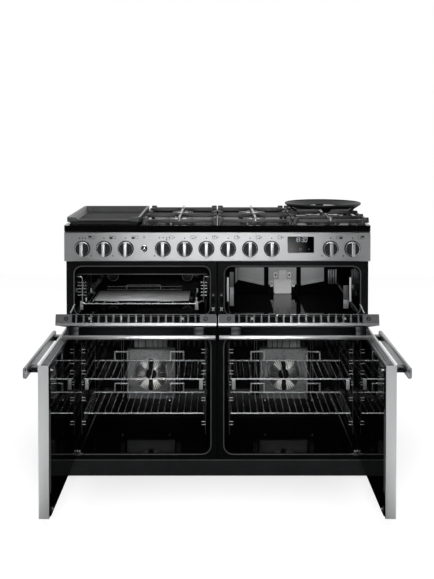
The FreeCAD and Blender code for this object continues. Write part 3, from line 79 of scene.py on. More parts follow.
def add_node(tree: Tree, kind: str, settings: dict | None = None,
             inputs: dict | None = None) -> bpy.types.Node:
    """Adds a node with its settings and its inputs.

    Args:
        tree: The node tree to add to.
        kind: The node's type name.
        settings: Property values by name.
        inputs: Values or other nodes' sockets, by input name or number.

    Returns:
        The new node.
    """
    node = tree.nodes.new(kind)
    for key, value in (settings or {}).items():
        setattr(node, key, value)
    for key, value in (inputs or {}).items():
        if isinstance(value, Socket):
            tree.links.new(value, node.inputs[key])
        else:
            node.inputs[key].default_value = value
    return node


def fresh_tree(holder: bpy.types.Material | bpy.types.World) -> Tree:
    """Gives the emptied node tree of a material or a world."""
    holder.use_nodes = True
    holder.node_tree.nodes.clear()
    return holder.node_tree


def ramp(tree: Tree, value: Socket, span: Pair,
         low: float | Socket, high: float) -> Socket:
    """Eases from one level to another while a value crosses a span.

    Args:
        tree: The node tree to add to.
        value: The value that crosses the span.
        span: Where the change starts and ends.
        low: The level before the span.
        high: The level after it.

    Returns:
        The eased level.
    """
    return add_node(tree, "ShaderNodeMapRange", {"interpolation_type": "SMOOTHSTEP"}, {
        "Value": value, "From Min": span[0], "From Max": span[1], "To Min": low, "To Max": high}).outputs[0]


def combine(tree: Tree, operation: str, *values: float | Socket,
            clamp: bool = False) -> Socket:
    """Works one sum out of its values, held between 0 and 1 if it is clamped, and gives the result."""
    return add_node(tree, "ShaderNodeMath", {"operation": operation, "use_clamp": clamp},
                    dict(enumerate(values))).outputs[0]


def link_object(name: str, data: bpy.types.ID) -> bpy.types.Object:
    """Makes an object of a mesh, a curve, a camera or a lamp, and links it to the scene."""
    made = bpy.data.objects.new(name, data)
    bpy.context.scene.collection.objects.link(made)
    return made


def mesh_object(name: str, shape: Shape, *materials: bpy.types.Material) -> bpy.types.Object:
    """Makes an object of a shape with its materials, and frees the shape."""
    data = bpy.data.meshes.new(name)
    shape.to_mesh(data)
    shape.free()
    for material in materials:
        data.materials.append(material)
    return link_object(name, data)


def on_side(side: int, near: float, far: float) -> Pair:
    """The lowest and highest X of a stretch that is given from the cooker's middle."""
    return (near, far) if side > 0 else (-far, -near)


class Grain(Enum):
    """How a surface was made, as the stretch of its fine pattern along X, Y and Z."""

    EVEN = (1.0, 1.0, 1.0)
    BRUSHED_ACROSS = (0.015, 1.0, 1.0)
    BRUSHED_UP = (1.0, 1.0, 0.015)
    BRUSHED_BACK = (1.0, 0.015, 1.0)


class Brush(Enum):
    """How a brushed surface smears light: a direction in it, and a quarter turn from there to the smear."""

    NONE = ((0.0, 0.0, 0.0), 0.0)
    ALONG_X = ((1.0, 0.0, 0.0), 0.25)
    ALONG_Y = ((0.0, 1.0, 0.0), 0.25)
    LEVEL = ((0.0, 0.0, 1.0), 0.0)


@dataclass(frozen=True)
class Finish:
    """One real surface and what it gives the eye. Pattern sizes are in millimetres."""

    name: str
    colour: str
    roughness: float
    grain: Grain = Grain.EVEN
    grain_mm: float = 1.0
    relief_mm: float = 0.02
    metallic: float = 0.0
    ior: float = 1.5
    tone: float = 0.15
    broad_mm: float = 110.0
    gloss_spread: float = 0.06
    fleck: str = ""
    fleck_mm: float = 4.0
    glow: float = 0.0
    brush: Brush = Brush.NONE
    smear: float = 0.9

    def material(self) -> bpy.types.Material:
        """Gives the material, built the first time it is asked for."""
        known = bpy.data.materials.get(self.name)
        return known or self.build()

    def build(self) -> bpy.types.Material:
        """Builds the nodes: a broad drift of tone, a fine grain in gloss and relief, and flecks.

        Returns:
            The new material.
        """
        made = bpy.data.materials.new(self.name)
        tree = fresh_tree(made)
        place = add_node(tree, "ShaderNodeTexCoord").outputs["Object"]
        stretch = add_node(tree, "ShaderNodeMapping", inputs={"Vector": place, "Scale": self.grain.value})
        fine = add_node(tree, "ShaderNodeTexNoise", inputs={
            "Vector": stretch.outputs[0], "Scale": 1 / (self.grain_mm * MM), "Detail": 3.0, "Roughness": 0.6})
        broad = add_node(tree, "ShaderNodeTexNoise", inputs={
            "Vector": place, "Scale": 1 / (self.broad_mm * MM), "Detail": 2.0})
        dark, light = self.tones()
        colour = add_node(tree, "ShaderNodeMix", {"data_type": "RGBA"}, {
            0: self.blend(tree, fine.outputs[0], broad.outputs[0]), 6: dark, 7: light}).outputs[2]
        if self.fleck:
            cells = add_node(tree, "ShaderNodeTexVoronoi", inputs={
                "Vector": place, "Scale": 1 / (self.fleck_mm * MM), "Randomness": 1.0})
            spots = add_node(tree, "ShaderNodeMapRange", inputs={
                "Value": cells.outputs["Distance"], "From Min": 0.16, "From Max": 0.2, "To Min": 1.0, "To Max": 0.0})
            colour = add_node(tree, "ShaderNodeMix", {"data_type": "RGBA"}, {
                0: spots.outputs[0], 6: colour, 7: linear(self.fleck)}).outputs[2]
        gloss = add_node(tree, "ShaderNodeMapRange", inputs={
            "Value": fine.outputs[0], "From Min": 0.3, "From Max": 0.7,
            "To Min": max(0.0, self.roughness - self.gloss_spread), "To Max": self.roughness + self.gloss_spread})
        relief = add_node(tree, "ShaderNodeBump", inputs={
            "Height": fine.outputs[0], "Distance": self.relief_mm * MM, "Strength": 1.0})
        shader = add_node(tree, "ShaderNodeBsdfPrincipled", inputs={
            "Base Color": colour, "Metallic": self.metallic, "Roughness": gloss.outputs[0],
            "Normal": relief.outputs[0]})
        if self.brush is not Brush.NONE:
            way, turn = self.brush.value
            along = add_node(tree, "ShaderNodeVectorTransform", {
                "vector_type": "VECTOR", "convert_from": "OBJECT", "convert_to": "WORLD"}, {0: way})
            shader.inputs["Anisotropic"].default_value = self.smear
            shader.inputs["Anisotropic Rotation"].default_value = turn
            tree.links.new(along.outputs[0], shader.inputs["Tangent"])
        if not self.metallic:
            shader.inputs["IOR"].default_value = self.ior
        if self.glow:
            shader.inputs["Emission Color"].default_value = linear(self.colour)
            shader.inputs["Emission Strength"].default_value = self.glow
        add_node(tree, "ShaderNodeOutputMaterial", inputs={"Surface": shader.outputs[0]})
        return made

    def tones(self) -> tuple[Colour, Colour]:
        """Gives the darkest and the lightest tone that the surface drifts between."""
        base = linear(self.colour)
        dark = tuple(c * (1 - self.tone) for c in base[:3]) + (1.0,)
        light = tuple(min(1.0, c * (1 + self.tone)) for c in base[:3]) + (1.0,)
        return dark, light

    def blend(self, tree: Tree, fine: Socket,
              broad: Socket) -> Socket:
        """Mixes the fine and the broad pattern into one share between the two tones."""
        total = combine(tree, "MULTIPLY_ADD", broad, 0.5, combine(tree, "MULTIPLY", fine, 0.5))
        return add_node(tree, "ShaderNodeMapRange", inputs={
            "Value": total, "From Min": 0.35, "From Max": 0.65}).outputs[0]


# Brushed stainless steel, grained across: light smears up and down it and fades towards its ends.
FASCIA_STEEL = Finish("brushed_stainless_fascia", "#b0b1b2", 0.36, Grain.BRUSHED_ACROSS, 1.6, 0.004, 1.0,
                      tone=0.05, broad_mm=240, gloss_spread=0.04, brush=Brush.LEVEL)
# The same sheet folded into the lower doors' outer pans, in a lighter copy as painted light.
LIT_SIDE_DOOR_STEEL = Finish("brushed_stainless_side_door_painted_lit", "#e4e5e6", 0.4, Grain.BRUSHED_BACK, 1.8, 0.004, 1.0,
                         tone=0.05, broad_mm=260, gloss_spread=0.04, brush=Brush.LEVEL)
# The same sheet folded into the drop-down doors' outer pans.
DROP_DOOR_STEEL = Finish("brushed_stainless_drop_door", "#b7b8ba", 0.36, Grain.BRUSHED_ACROSS, 1.8, 0.004, 1.0,
                         tone=0.05, broad_mm=260, gloss_spread=0.04, brush=Brush.ALONG_X)
# Linished stainless bar: one long band of light down each handle.
BAR_STEEL = Finish("linished_stainless_bar", "#dcddde", 0.34, Grain.BRUSHED_ACROSS, 1.4, 0.003, 1.0,
                   tone=0.04, gloss_spread=0.04, brush=Brush.ALONG_X)
# The same bar on the side-hung doors, in a darker copy as painted shade.
SHADED_SIDE_BAR_STEEL = replace(BAR_STEEL, name="linished_stainless_side_bar_painted_shade", colour="#97989a", grain=Grain.BRUSHED_BACK,
                         brush=Brush.ALONG_Y)
# Flat ground steel of the handle brackets, near black as painted shade: it mirrors what stands in front of it.
SHADED_BRACKET_STEEL = Finish("ground_stainless_bracket_painted_shade", "#2c2d2e", 0.26, Grain.BRUSHED_ACROSS, 1.2, 0.003, 1.0,
                       tone=0.06, gloss_spread=0.03)
# Satin steel faces of the knobs' grip bars.
GRIP_STEEL = Finish("satin_grip_steel", "#d4d5d6", 0.36, Grain.BRUSHED_UP, 0.9, 0.003, 1.0, tone=0.04,
                    gloss_spread=0.04, brush=Brush.LEVEL)
# Chrome plate on brass: near mirror, with the faint ripple of plating.
CHROME = Finish("bright_chrome_plate", "#e2e4e6", 0.07, Grain.EVEN, 6.0, 0.006, 1.0, tone=0.03, gloss_spread=0.03)
# Chromed steel wire, drawn and plated: bright, with fine draw marks.
WIRE_CHROME = Finish("chromed_steel_wire", "#c8cacc", 0.26, Grain.BRUSHED_BACK, 1.2, 0.01, 0.9, tone=0.08)
# Vitreous enamel on the hob, fired black: gloss that turns to a mirror where it is seen along.
HOB_ENAMEL = Finish("black_vitreous_enamel", "#060607", 0.12, Grain.EVEN, 7.0, 0.006, ior=1.2, tone=0.2,
                    gloss_spread=0.03)
# Gunmetal enamel on the carcass: dark grey with a satin sheen.
CARCASS_ENAMEL = Finish("gunmetal_stove_enamel", "#0c0d0e", 0.18, Grain.EVEN, 5.0, 0.008, ior=1.32, tone=0.18,
                        gloss_spread=0.04)
# The same enamel on the plinth, lighter all over as painted light.
LIT_PLINTH_ENAMEL = replace(CARCASS_ENAMEL, name="plinth_enamel_painted_lit", colour="#262728", ior=1.38)
# Seasoned cooking face of the griddle: matte, dark and dry.
SEASONED_IRON = Finish("seasoned_griddle_iron", "#232324", 0.6, Grain.EVEN, 2.2, 0.05, ior=1.16, tone=0.3)
# Easy-clean enamel in the cavities: black gloss with tiny grey flecks.
CAVITY_ENAMEL = Finish("easy_clean_enamel", "#060607", 0.07, Grain.EVEN, 9.0, 0.006, ior=1.3, tone=0.3,
                       gloss_spread=0.03, fleck="#101011", fleck_mm=3.0)
# Matte black with no sheen, so it stays dark: high-heat black on a few parts, and painted shade in slots, holes, gaps,
# behind the fan grilles and in the strips beside the baffles.
BLACK_AND_PAINTED_SHADE = Finish("matte_black_and_painted_shade", "#030303", 0.8, Grain.EVEN, 1.5, 0.05, ior=1.2, tone=0.2)
# Cast iron under matte enamel: a pebbled skin that catches light on its edges.
CAST_IRON = Finish("matte_enamelled_cast_iron", "#272728", 0.4, Grain.EVEN, 2.6, 0.10, ior=1.5, tone=0.25,
                   broad_mm=40, gloss_spread=0.1, fleck="#363637", fleck_mm=5.0)
# The wok cradle's casting: finer sand, darker and a little rougher.
FINE_IRON = Finish("fine_enamelled_cast_iron", "#141516", 0.44, Grain.EVEN, 1.8, 0.05, ior=1.3, tone=0.25,
                   broad_mm=60, gloss_spread=0.08, fleck="#1e1e1f", fleck_mm=4.0)
# The griddle's walls and rim: the same casting, rubbed to a greyer and smoother sheen.
GRIDDLE_IRON = replace(FINE_IRON, name="rubbed_griddle_iron", colour="#3a3b3c", roughness=0.36, ior=1.45)
# Enamelled burner caps: smooth black that mirrors the room where it is seen along.
CAP_ENAMEL = Finish("burner_cap_enamel", "#0c0c0d", 0.05, Grain.EVEN, 1.4, 0.006, tone=0.2)
# Die-cast aluminium burner heads: pale, dull and slightly grainy.
BURNER_ALLOY = Finish("die_cast_aluminium", "#8f9193", 0.42, Grain.EVEN, 1.2, 0.03, 1.0, tone=0.12)
# Hot-dip galvanised sheet: grey with large spangles.
ZINC = Finish("galvanised_sheet", "#8d9194", 0.42, Grain.EVEN, 14.0, 0.01, 0.9, tone=0.22, broad_mm=24,
              fleck="#a3a7aa", fleck_mm=18.0)
# Toughened black glass: the deepest, sharpest reflection on the cooker.
BLACK_GLASS = Finish("toughened_black_glass", "#030304", 0.025, Grain.EVEN, 40.0, 0.002, ior=1.46, tone=0.1,
                     gloss_spread=0.01)
# Extruded silicone rubber: dull grey that goes lighter where it bends.
SEAL_RUBBER = Finish("silicone_seal_rubber", "#4c4d4e", 0.4, Grain.EVEN, 2.0, 0.02, ior=1.43, tone=0.15)
# Brass gas fittings, dulled by heat.
BRASS = Finish("gas_brass", "#a8864a", 0.35, Grain.EVEN, 2.0, 0.03, 1.0, tone=0.15)
# Moulded thermoset for switches, knob skirts and small fasteners.
MOULDED = Finish("moulded_black_thermoset", "#101011", 0.3, Grain.EVEN, 0.9, 0.01, ior=1.45, tone=0.15)
# The knobs' skirts: the same thermoset, flatter and blacker.
SKIRT_BLACK = replace(MOULDED, name="flat_black_skirt", colour="#060606", roughness=0.5, ior=1.22)
# Anthracite lacquer on the knobs' recessed faces: dark satin grey.
KNOB_LACQUER = Finish("anthracite_knob_lacquer", "#1c1d1e", 0.34, Grain.EVEN, 1.0, 0.006, ior=1.3, tone=0.08)
# Frosted borosilicate glass over the oven lamps.
LAMP_GLASS = Finish("frosted_lamp_glass", "#0c0c0d", 0.2, Grain.EVEN, 3.0, 0.03, ior=1.3, tone=0.1)
# Cold-rolled steel of the fans, rims and elements, dulled by heat.
FAN_STEEL = Finish("heat_dulled_steel", "#6c6c6d", 0.34, Grain.EVEN, 2.0, 0.02, 0.9, tone=0.2, broad_mm=30)
# Pale spun steel ribs of the fan grilles: they catch the light from above.
RIB_STEEL = Finish("spun_grille_steel", "#dcdddd", 0.34, Grain.EVEN, 1.2, 0.01, 0.2, tone=0.08)
# Grey brushed plate in the grill pan: dull, with streaks from side to side.
PAN_PLATE = Finish("brushed_grill_plate", "#f0f0f0", 0.5, Grain.BRUSHED_ACROSS, 2.4, 0.02, 0.0, tone=0.2,
                   broad_mm=60)
# Powder-coated steel caps on the doors' top edges: flat mid grey with a fine texture.
CAP_PAINT = Finish("grey_powder_coat", "#505153", 0.5, Grain.EVEN, 0.8, 0.02, ior=1.4, tone=0.08)
# Pale grey sheet, soft and dull, as painted light: it stands in for the lit patches on the top oven's back wall, and
# the vent cover takes a lighter copy of it.
LIT_PATCH_SHEET = Finish("pale_sheet_painted_light", "#cbcccd", 0.44, Grain.EVEN, 3.0, 0.006, 0.1, tone=0.08, broad_mm=50)
# The vent cover: a white copy of the same sheet, lighter as painted light, the palest metal inside the cooker.
LIT_VENT_SHEET = replace(LIT_PATCH_SHEET, name="vent_sheet_painted_lit", colour="#ffffff", metallic=0.0)
# Ink printed on the fascia: flat black.
INK = Finish("black_panel_ink", "#060606", 0.8, Grain.EVEN, 0.6, 0.002, tone=0.05)
# Lit segments behind the clock's glass: cool white that gives a little light of its own.
CLOCK_LIGHT = Finish("clock_segment_light", "#c4ccd2", 0.5, Grain.EVEN, 0.5, 0.002, tone=0.03, glow=0.3)
# Touch marks printed behind the clock's glass: dim grey.
TOUCH_MARK = Finish("touch_mark_print", "#6e7276", 0.5, Grain.EVEN, 0.5, 0.002, tone=0.03)
# Raised fore-and-aft fingers of the supports: glossier than the bars, and lighter as a painted highlight.
FINGER_IRON_HIGHLIGHT = Finish("cast_iron_painted_highlight", "#4a4a4b", 0.12, Grain.BRUSHED_ACROSS, 3.0, 0.05, ior=2.2, tone=0.3)
# Satin sheet over the fan baffle: a dull mid grey in the depth of the oven.
BAFFLE_SHEET = Finish("satin_baffle_sheet", "#6a6b6c", 0.4, Grain.BRUSHED_UP, 4.0, 0.01, 0.1, tone=0.2, broad_mm=70)
# Glazed ceramic round the spark electrodes.
CERAMIC = Finish("glazed_ceramic", "#e6e2d8", 0.25, Grain.EVEN, 1.0, 0.01, ior=1.6, tone=0.05)
# Bare folded steel of brackets and runners, zinc plated and pale.
PLATED = Finish("bright_zinc_plate", "#cfd1d3", 0.32, Grain.EVEN, 1.5, 0.006, 1.0, tone=0.06)
# The same plate in a pale, less metallic copy as painted light, where it faces the room from inside a dark opening.
LIT_PLATE = Finish("zinc_plate_painted_lit", "#d9dadb", 0.5, Grain.EVEN, 1.5, 0.006, 0.4, tone=0.06)
# Galvanised bracket plates in the top oven: mid grey, finely spangled.
ZINC_DULL = Finish("dull_zinc_plate", "#8c8e90", 0.5, Grain.EVEN, 6.0, 0.006, 0.4, tone=0.12, broad_mm=20)
# Steel runner tabs in the ovens: satin mid grey.
TAB_STEEL = Finish("satin_tab_steel", "#a9abad", 0.45, Grain.EVEN, 1.5, 0.006, 0.5, tone=0.08)
# Drawn wire that heat has dulled: it only glints.
WIRE_DULL = Finish("heat_dulled_wire", "#4c4d4e", 0.3, Grain.EVEN, 1.2, 0.01, 0.8, tone=0.1)
# The fan covers' enamel, worn by heat: a soft mid grey.
COVER_ENAMEL = Finish("fan_cover_enamel", "#464748", 0.3, Grain.EVEN, 7.0, 0.006, ior=1.4, tone=0.25)


def edges_along(shape: Shape, axis: int) -> list[Edge]:
    """Picks the straight edges that run along one axis, by its number."""
    return [edge for edge in shape.edges
            if abs((edge.verts[1].co - edge.verts[0].co)[axis]) > 0.999 * edge.calc_length() > 0]


def sharp_edges(shape: Shape) -> list[Edge]:
    """Picks the edges between two faces that meet at a clear angle."""
    return [edge for edge in shape.edges if len(edge.link_faces) == 2 and edge.calc_face_angle(0.0) > SHARP]


def slice_at(shape: Shape, axis: int, spot: float) -> None:
    """Cuts the faces of a shape along a plane across one axis, and keeps both halves."""
    normal = Vector((axis == 0, axis == 1, axis == 2))
    bmesh.ops.bisect_plane(shape, geom=shape.verts[:] + shape.edges[:] + shape.faces[:], dist=0.01,
                           plane_co=normal * spot, plane_no=normal)


def soften(shape: Shape, width: float, steps: int = 2, edges: list[Edge] | None = None) -> Shape:
    """Rounds edges by a width.

    Args:
        shape: The shape to round.
        width: The rounding, in millimetres.
        steps: The number of facets on each rounding.
        edges: The edges to round, or none for every sharp one.

    Returns:
        The same shape.
    """
    if width <= 0:
        return shape
    if edges is None:
        edges = sharp_edges(shape)
    bmesh.ops.bevel(shape, geom=edges, offset=width, offset_type="OFFSET", segments=steps, profile=0.5,
                    affect="EDGES", clamp_overlap=True, material=-1)
    return shape


def block(low: Point, high: Point, soft: float = 0.0, corner: float = 0.0, axis: int = 1, steps: int = 2) -> Shape:
    """A block between two corners.

    Args:
        low: The lowest corner.
        high: The highest corner.
        soft: The rounding of all its edges.
        corner: The rounding of the four edges along one axis, made first.
        axis: That axis, by its number.
        steps: The number of facets on each soft edge.

    Returns:
        The new shape.
    """
    shape = bmesh.new()
    bmesh.ops.create_cube(shape, size=1.0)
    extent = Vector(high) - Vector(low)
    bmesh.ops.scale(shape, vec=extent, verts=shape.verts)
    bmesh.ops.translate(shape, vec=(Vector(low) + Vector(high)) / 2, verts=shape.verts)
    soften(shape, corner, 6, edges_along(shape, axis))
    return soften(shape, soft, steps)


def plate(face: float, across: Pair, up: Pair, front: float, soft: float = 0.0, back: float = SEAT) -> Shape:
    """An upright plate before a face that looks towards the viewer.

    Args:
        face: The Y of the face.
        across: Its left and right side.
        up: Its bottom and top.
        front: How far its front stands before the face.
        soft: The rounding of its edges.
        back: How far its back stands before the face.

    Returns:
        The new shape.
    """
    return block((across[0], face - front, up[0]), (across[1], face - back, up[1]), soft)


def taper(low: Point, high: Point, draft: float, soft: float = 1.2) -> Shape:
    """A cast bar: a block whose top is narrower than its foot by the draft on every side."""
    shape = block(low, high)
    middle = (Vector(low) + Vector(high)) / 2
    for vert in shape.verts:
        if vert.co.z > middle.z:
            for axis in (0, 1):
                vert.co[axis] += draft if vert.co[axis] < middle[axis] else -draft
    return soften(shape, soft)


def drum(radius: float, height: float, sides: int = 40, soft: float = 0.0) -> Shape:
    """An upright cylinder that stands on the origin."""
    shape = bmesh.new()
    bmesh.ops.create_cone(shape, cap_ends=True, cap_tris=False, segments=sides, radius1=radius, radius2=radius,
                          depth=height, matrix=Matrix.Translation((0, 0, height / 2)))
    return soften(shape, soft)


def lathe(profile: Sequence[Pair], steps: int = 48, closed: bool = False) -> Shape:
    """A turned shape about Z.

    Args:
        profile: The outline as radius and height.
        steps: The number of facets round the axis.
        closed: Whether the outline's last point joins its first.

    Returns:
        The new shape.
    """
    shape = bmesh.new()
    verts = [shape.verts.new((radius, 0, height)) for radius, height in profile]
    pairs = list(zip(verts, verts[1:])) + ([(verts[-1], verts[0])] if closed else [])
    edges = [shape.edges.new(pair) for pair in pairs]
    bmesh.ops.spin(shape, geom=verts + edges, cent=(0, 0, 0), axis=(0, 0, 1), dvec=(0, 0, 0),
                   angle=math.tau, steps=steps, use_merge=True, use_normal_flip=False, use_duplicate=False)
    bmesh.ops.remove_doubles(shape, verts=shape.verts, dist=0.01)
    bmesh.ops.recalc_face_normals(shape, faces=shape.faces)
    return shape


def hoop(inner: float, outer: float, tall: float, steps: int) -> Shape:
    """A flat ring with a square section that stands on the origin."""
    return lathe(((inner, 0), (outer, 0), (outer, tall), (inner, tall)), steps, closed=True)


def disc(radius: float, tall: float, steps: int) -> Shape:
    """A turned disc that lies on the origin."""
    return lathe(((0, 0), (radius, 0), (radius, tall), (0, tall)), steps)


def wire(points: Sequence[Point], radius: float, bend: float = 0.0, closed: bool = False) -> Shape:
    """A round wire through points, with its corners bent.

    Args:
        points: The corners of its path.
        radius: The wire's radius.
        bend: How far from a corner each bend starts.
        closed: Whether the last point runs back to the first.

    Returns:
        The new shape.
    """
    curve = bpy.data.curves.new("wire", "CURVE")
    curve.dimensions = "3D"
    curve.bevel_depth = radius
    curve.bevel_resolution = 2
    curve.resolution_u = 4
    curve.use_fill_caps = True
    spots = [Vector(point) for point in points]
    knots: list[tuple[Vector, Vector, Vector]] = []
    for number, spot in enumerate(spots):
        if not closed and number in (0, len(spots) - 1):
            knots.append((spot, spot, spot))
            continue
        before = (spots[number - 1] - spot).normalized() * bend
        after = (spots[(number + 1) % len(spots)] - spot).normalized() * bend
        knots.append((spot + before, spot + before * 1.1, spot + before * 0.45))
        knots.append((spot + after, spot + after * 0.45, spot + after * 1.1))
    spline = curve.splines.new("BEZIER")
    spline.bezier_points.add(len(knots) - 1)
    spline.use_cyclic_u = closed
    for knot, (spot, left, right) in zip(spline.bezier_points, knots):
        knot.handle_left_type = knot.handle_right_type = "FREE"
        knot.co, knot.handle_left, knot.handle_right = spot, left, right
    holder = link_object("wire", curve)
    seen = holder.evaluated_get(bpy.context.evaluated_depsgraph_get())
    data = bpy.data.meshes.new_from_object(seen)
    shape = bmesh.new()
    shape.from_mesh(data)
    bmesh.ops.remove_doubles(shape, verts=shape.verts, dist=0.001)
    bpy.data.objects.remove(holder)
    bpy.data.curves.remove(curve)
    bpy.data.meshes.remove(data)
    return shape


def at(x: float, y: float, z: float) -> Matrix:
    """A shift, in millimetres."""
    return Matrix.Translation((x, y, z))


class Piece:
    """A named piece under construction, in millimetres in the cooker's own frame."""

    def __init__(self, name: str, body: str = "root", slot: str = "") -> None:
        """Starts an empty piece that rides on a body, and keeps a material slot name that nothing uses."""
        self.name = name
        self.body = body
        self.slot = slot
        self.mesh = bmesh.new()
        self.finishes: list[Finish] = []

    def add(self, shape: Shape, finish: Finish, *places: Matrix) -> "Piece":
        """Adds a shape once at each place, and frees it.

        Args:
            shape: The shape to add.
            finish: What it is made of.
            *places: Where it goes, or nothing for where it was drawn.

        Returns:
            The piece itself.
        """
        if finish not in self.finishes:
            self.finishes.append(finish)
        for face in shape.faces:
            face.material_index = self.finishes.index(finish)
            face.smooth = True
        for edge in shape.edges:
            edge.smooth = len(edge.link_faces) == 2 and edge.calc_face_angle(0.0) < SHARP
        data = bpy.data.meshes.new("shape")
        for place in places or (Matrix(),):
            copy = shape.copy()
            copy.transform(place)
            if place.determinant() < 0:
                bmesh.ops.reverse_faces(copy, faces=copy.faces)
            copy.to_mesh(data)
            self.mesh.from_mesh(data)
            copy.free()
        bpy.data.meshes.remove(data)
        shape.free()
        return self

    def done(self, place: Matrix = Matrix(), stands_for: Sequence[str] = ()) -> bpy.types.Object:
        """Makes the object, hangs it on its body and hides the nodes that it stands for.

        Args:
            place: A last turn or shift, such as a door's swing.
            stands_for: The CAD nodes that it replaces.

        Returns:
            The new object.
        """
        self.mesh.transform(Matrix.Scale(MM, 4) @ place)
        piece = mesh_object(self.name, self.mesh, *(finish.material() for finish in self.finishes))
        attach(piece, self.body)
        if stands_for:
            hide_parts(*stands_for)
        return piece


@dataclass(frozen=True)
class Studio:
    """The camera, the pale floor, the white surround, the lamps and what only mirrors see, all in metres.

    The lamps are soft cards and boxes, and gridded spots on the fans and on the chambers above them. Two black flags
    on the floor and a graded card beside the camera show only in mirrors. A flag is its name and two corners. A softbox
    is what lamp() takes. A spot is its name, its height, the height that it aims at and its power.
    """

    camera_place: Point = (0.0, -3.39028, 1.28477)
    camera_dip: float = 0.0265
    focal_mm: float = 58.44
    film_mm: float = 36.0
    shift: Pair = (-0.0006, -0.2443)
    floor_low: Pair = (-4.0, -2.2)
    floor_high: Pair = (4.0, 4.5)
    floor_tones: Pair = (0.78, 0.82)
    floor_lift: float = 0.5
    flag_level: float = 0.0012
    flags: tuple[tuple[str, Pair, Pair], ...] = (
        ("floor_flag", (-0.58, -1.9), (0.58, 0.5)), ("far_floor_flag", (-0.95, -2.9), (0.95, -1.9)))
    fill: float = 0.55
    front_glow: float = 0.05
    front_low_glow: float = 0.06
    front_rise: Pair = (-0.17, -0.09)
    behind_rise: Pair = (-0.35, 0.25)
    side_glow: float = 0.35
    side_rise: Pair = (0.72, 0.94)
    softboxes: tuple[tuple[str, Point, Point, Pair, float], ...] = (
        ("key_card", (0.0, -3.2, 2.2), (0.0, -0.05, 0.75), (1.35, 0.9), 25.5),
        ("front_card", (0.0, -3.4, 0.9), (0.0, 0.0, 0.6), (1.35, 0.38), 17.0),
        ("top_softbox", (0.0, -0.5, 3.0), (0.0, 0.1, 0.6), (2.6, 1.4), 18.0),
        ("left_softbox", (-3.4, -1.6, 1.5), (0.0, 0.0, 0.5), (0.9, 1.8), 4.0),
        ("right_softbox", (3.4, -1.6, 1.5), (0.0, 0.0, 0.5), (0.9, 1.8), 2.5))
    spots: tuple[tuple[str, float, float, float], ...] = (
        ("fan_spot", 0.92, 0.35, 0.6), ("grill_spot", 0.86, 0.66, 0.04))
    spot_across: float = 0.268
    spot_run: Pair = (-1.5, 0.38)
    spot_extent: Pair = (0.16, 0.06)
    spot_spread: float = 16.0
    clock_glow: float = 5.0
    card_y: float = -3.4
    card_x: Pair = (0.42, 0.7)
    card_z: Pair = (0.32, 0.52)
    card_fade_x: Pair = (0.45, 0.66)
    card_fade_z: Pair = (0.36, 0.52)
    card_top_share: float = 0.15

    def build(self) -> None:
        """Builds everything that isn't part of the cooker."""
        self.camera()
        self.sheet("floor", self.floor_low, self.floor_high, 0.0, self.floor_finish())
        self.flag()
        self.surround()
        for softbox in self.softboxes:
            self.lamp(*softbox)
        near, far = self.spot_run
        for side, word in SIDES:
            x = side * self.spot_across
            for name, height, aim, power in self.spots:
                self.lamp(f"{word}_{name}", (x, near, height), (x, far, aim), self.spot_extent, power, self.spot_spread)
        self.clock_card()

    def camera(self) -> None:
        """Places the camera as it stood for the photograph."""
        lens = bpy.data.cameras.new("camera")
        lens.lens = self.focal_mm
        lens.sensor_width = self.film_mm
        lens.sensor_fit = "AUTO"
        lens.shift_x, lens.shift_y = self.shift
        lens.clip_end = 50
        holder = link_object("camera", lens)
        holder.location = self.camera_place
        holder.rotation_euler = (math.pi / 2 - self.camera_dip, 0, 0)
        bpy.context.scene.camera = holder

    def floor_finish(self) -> bpy.types.Material:
        """Makes the floor: matte and pale, lifted to meet the white surround where it is seen."""
        made = bpy.data.materials.new("pale_studio_floor")
        tree = fresh_tree(made)
        place = add_node(tree, "ShaderNodeTexCoord").outputs["Object"]
        grit = add_node(tree, "ShaderNodeTexNoise", inputs={"Vector": place, "Scale": 90.0, "Detail": 2.0})
        dark, light = self.floor_tones
        tone = add_node(tree, "ShaderNodeMapRange", inputs={"Value": grit.outputs[0], "To Min": dark, "To Max": light})
        matte = add_node(tree, "ShaderNodeBsdfDiffuse", inputs={"Color": tone.outputs[0], "Roughness": 0.5})
        paths = add_node(tree, "ShaderNodeLightPath").outputs
        seen = combine(tree, "ADD", paths["Is Camera Ray"], paths["Is Glossy Ray"])
        shown = combine(tree, "ADD", seen, paths["Is Transmission Ray"], clamp=True)
        glow = add_node(tree, "ShaderNodeEmission", inputs={
            "Color": linear("#ffffff"), "Strength": combine(tree, "MULTIPLY", shown, self.floor_lift)})
        both = add_node(tree, "ShaderNodeAddShader", inputs={0: matte.outputs[0], 1: glow.outputs[0]})
        add_node(tree, "ShaderNodeOutputMaterial", inputs={"Surface": both.outputs[0]})
        return made

    def sheet(self, name: str, low: Pair, high: Pair, level: float, finish: bpy.types.Material) -> bpy.types.Object:
        """Lays one flat stage sheet between two corners at a level."""
        shape = bmesh.new()
        bmesh.ops.create_grid(shape, x_segments=8, y_segments=8, size=1.0)
        first, last = Vector(low + (level,)), Vector(high + (level,))
        bmesh.ops.scale(shape, vec=((last - first) / 2 + Vector((0, 0, 1))), verts=shape.verts)
        bmesh.ops.translate(shape, vec=(first + last) / 2, verts=shape.verts)
        laid = mesh_object(name, shape, finish)
        return laid

    def for_mirrors(self, thing: bpy.types.Object) -> None:
        """Leaves a thing to be seen in mirrors only."""
        thing.visible_camera = thing.visible_diffuse = thing.visible_shadow = False

    def flag(self) -> None:
        """Lays black velvet in front of the plinth for mirrors to see, so that glass and enamel stay dark."""
        velvet = Finish("black_velvet_flag", "#040404", 0.9, Grain.EVEN, 2.0, 0.0, ior=1.1).material()
        for name, low, high in self.flags:
            self.for_mirrors(self.sheet(name, low, high, self.flag_level, velvet))

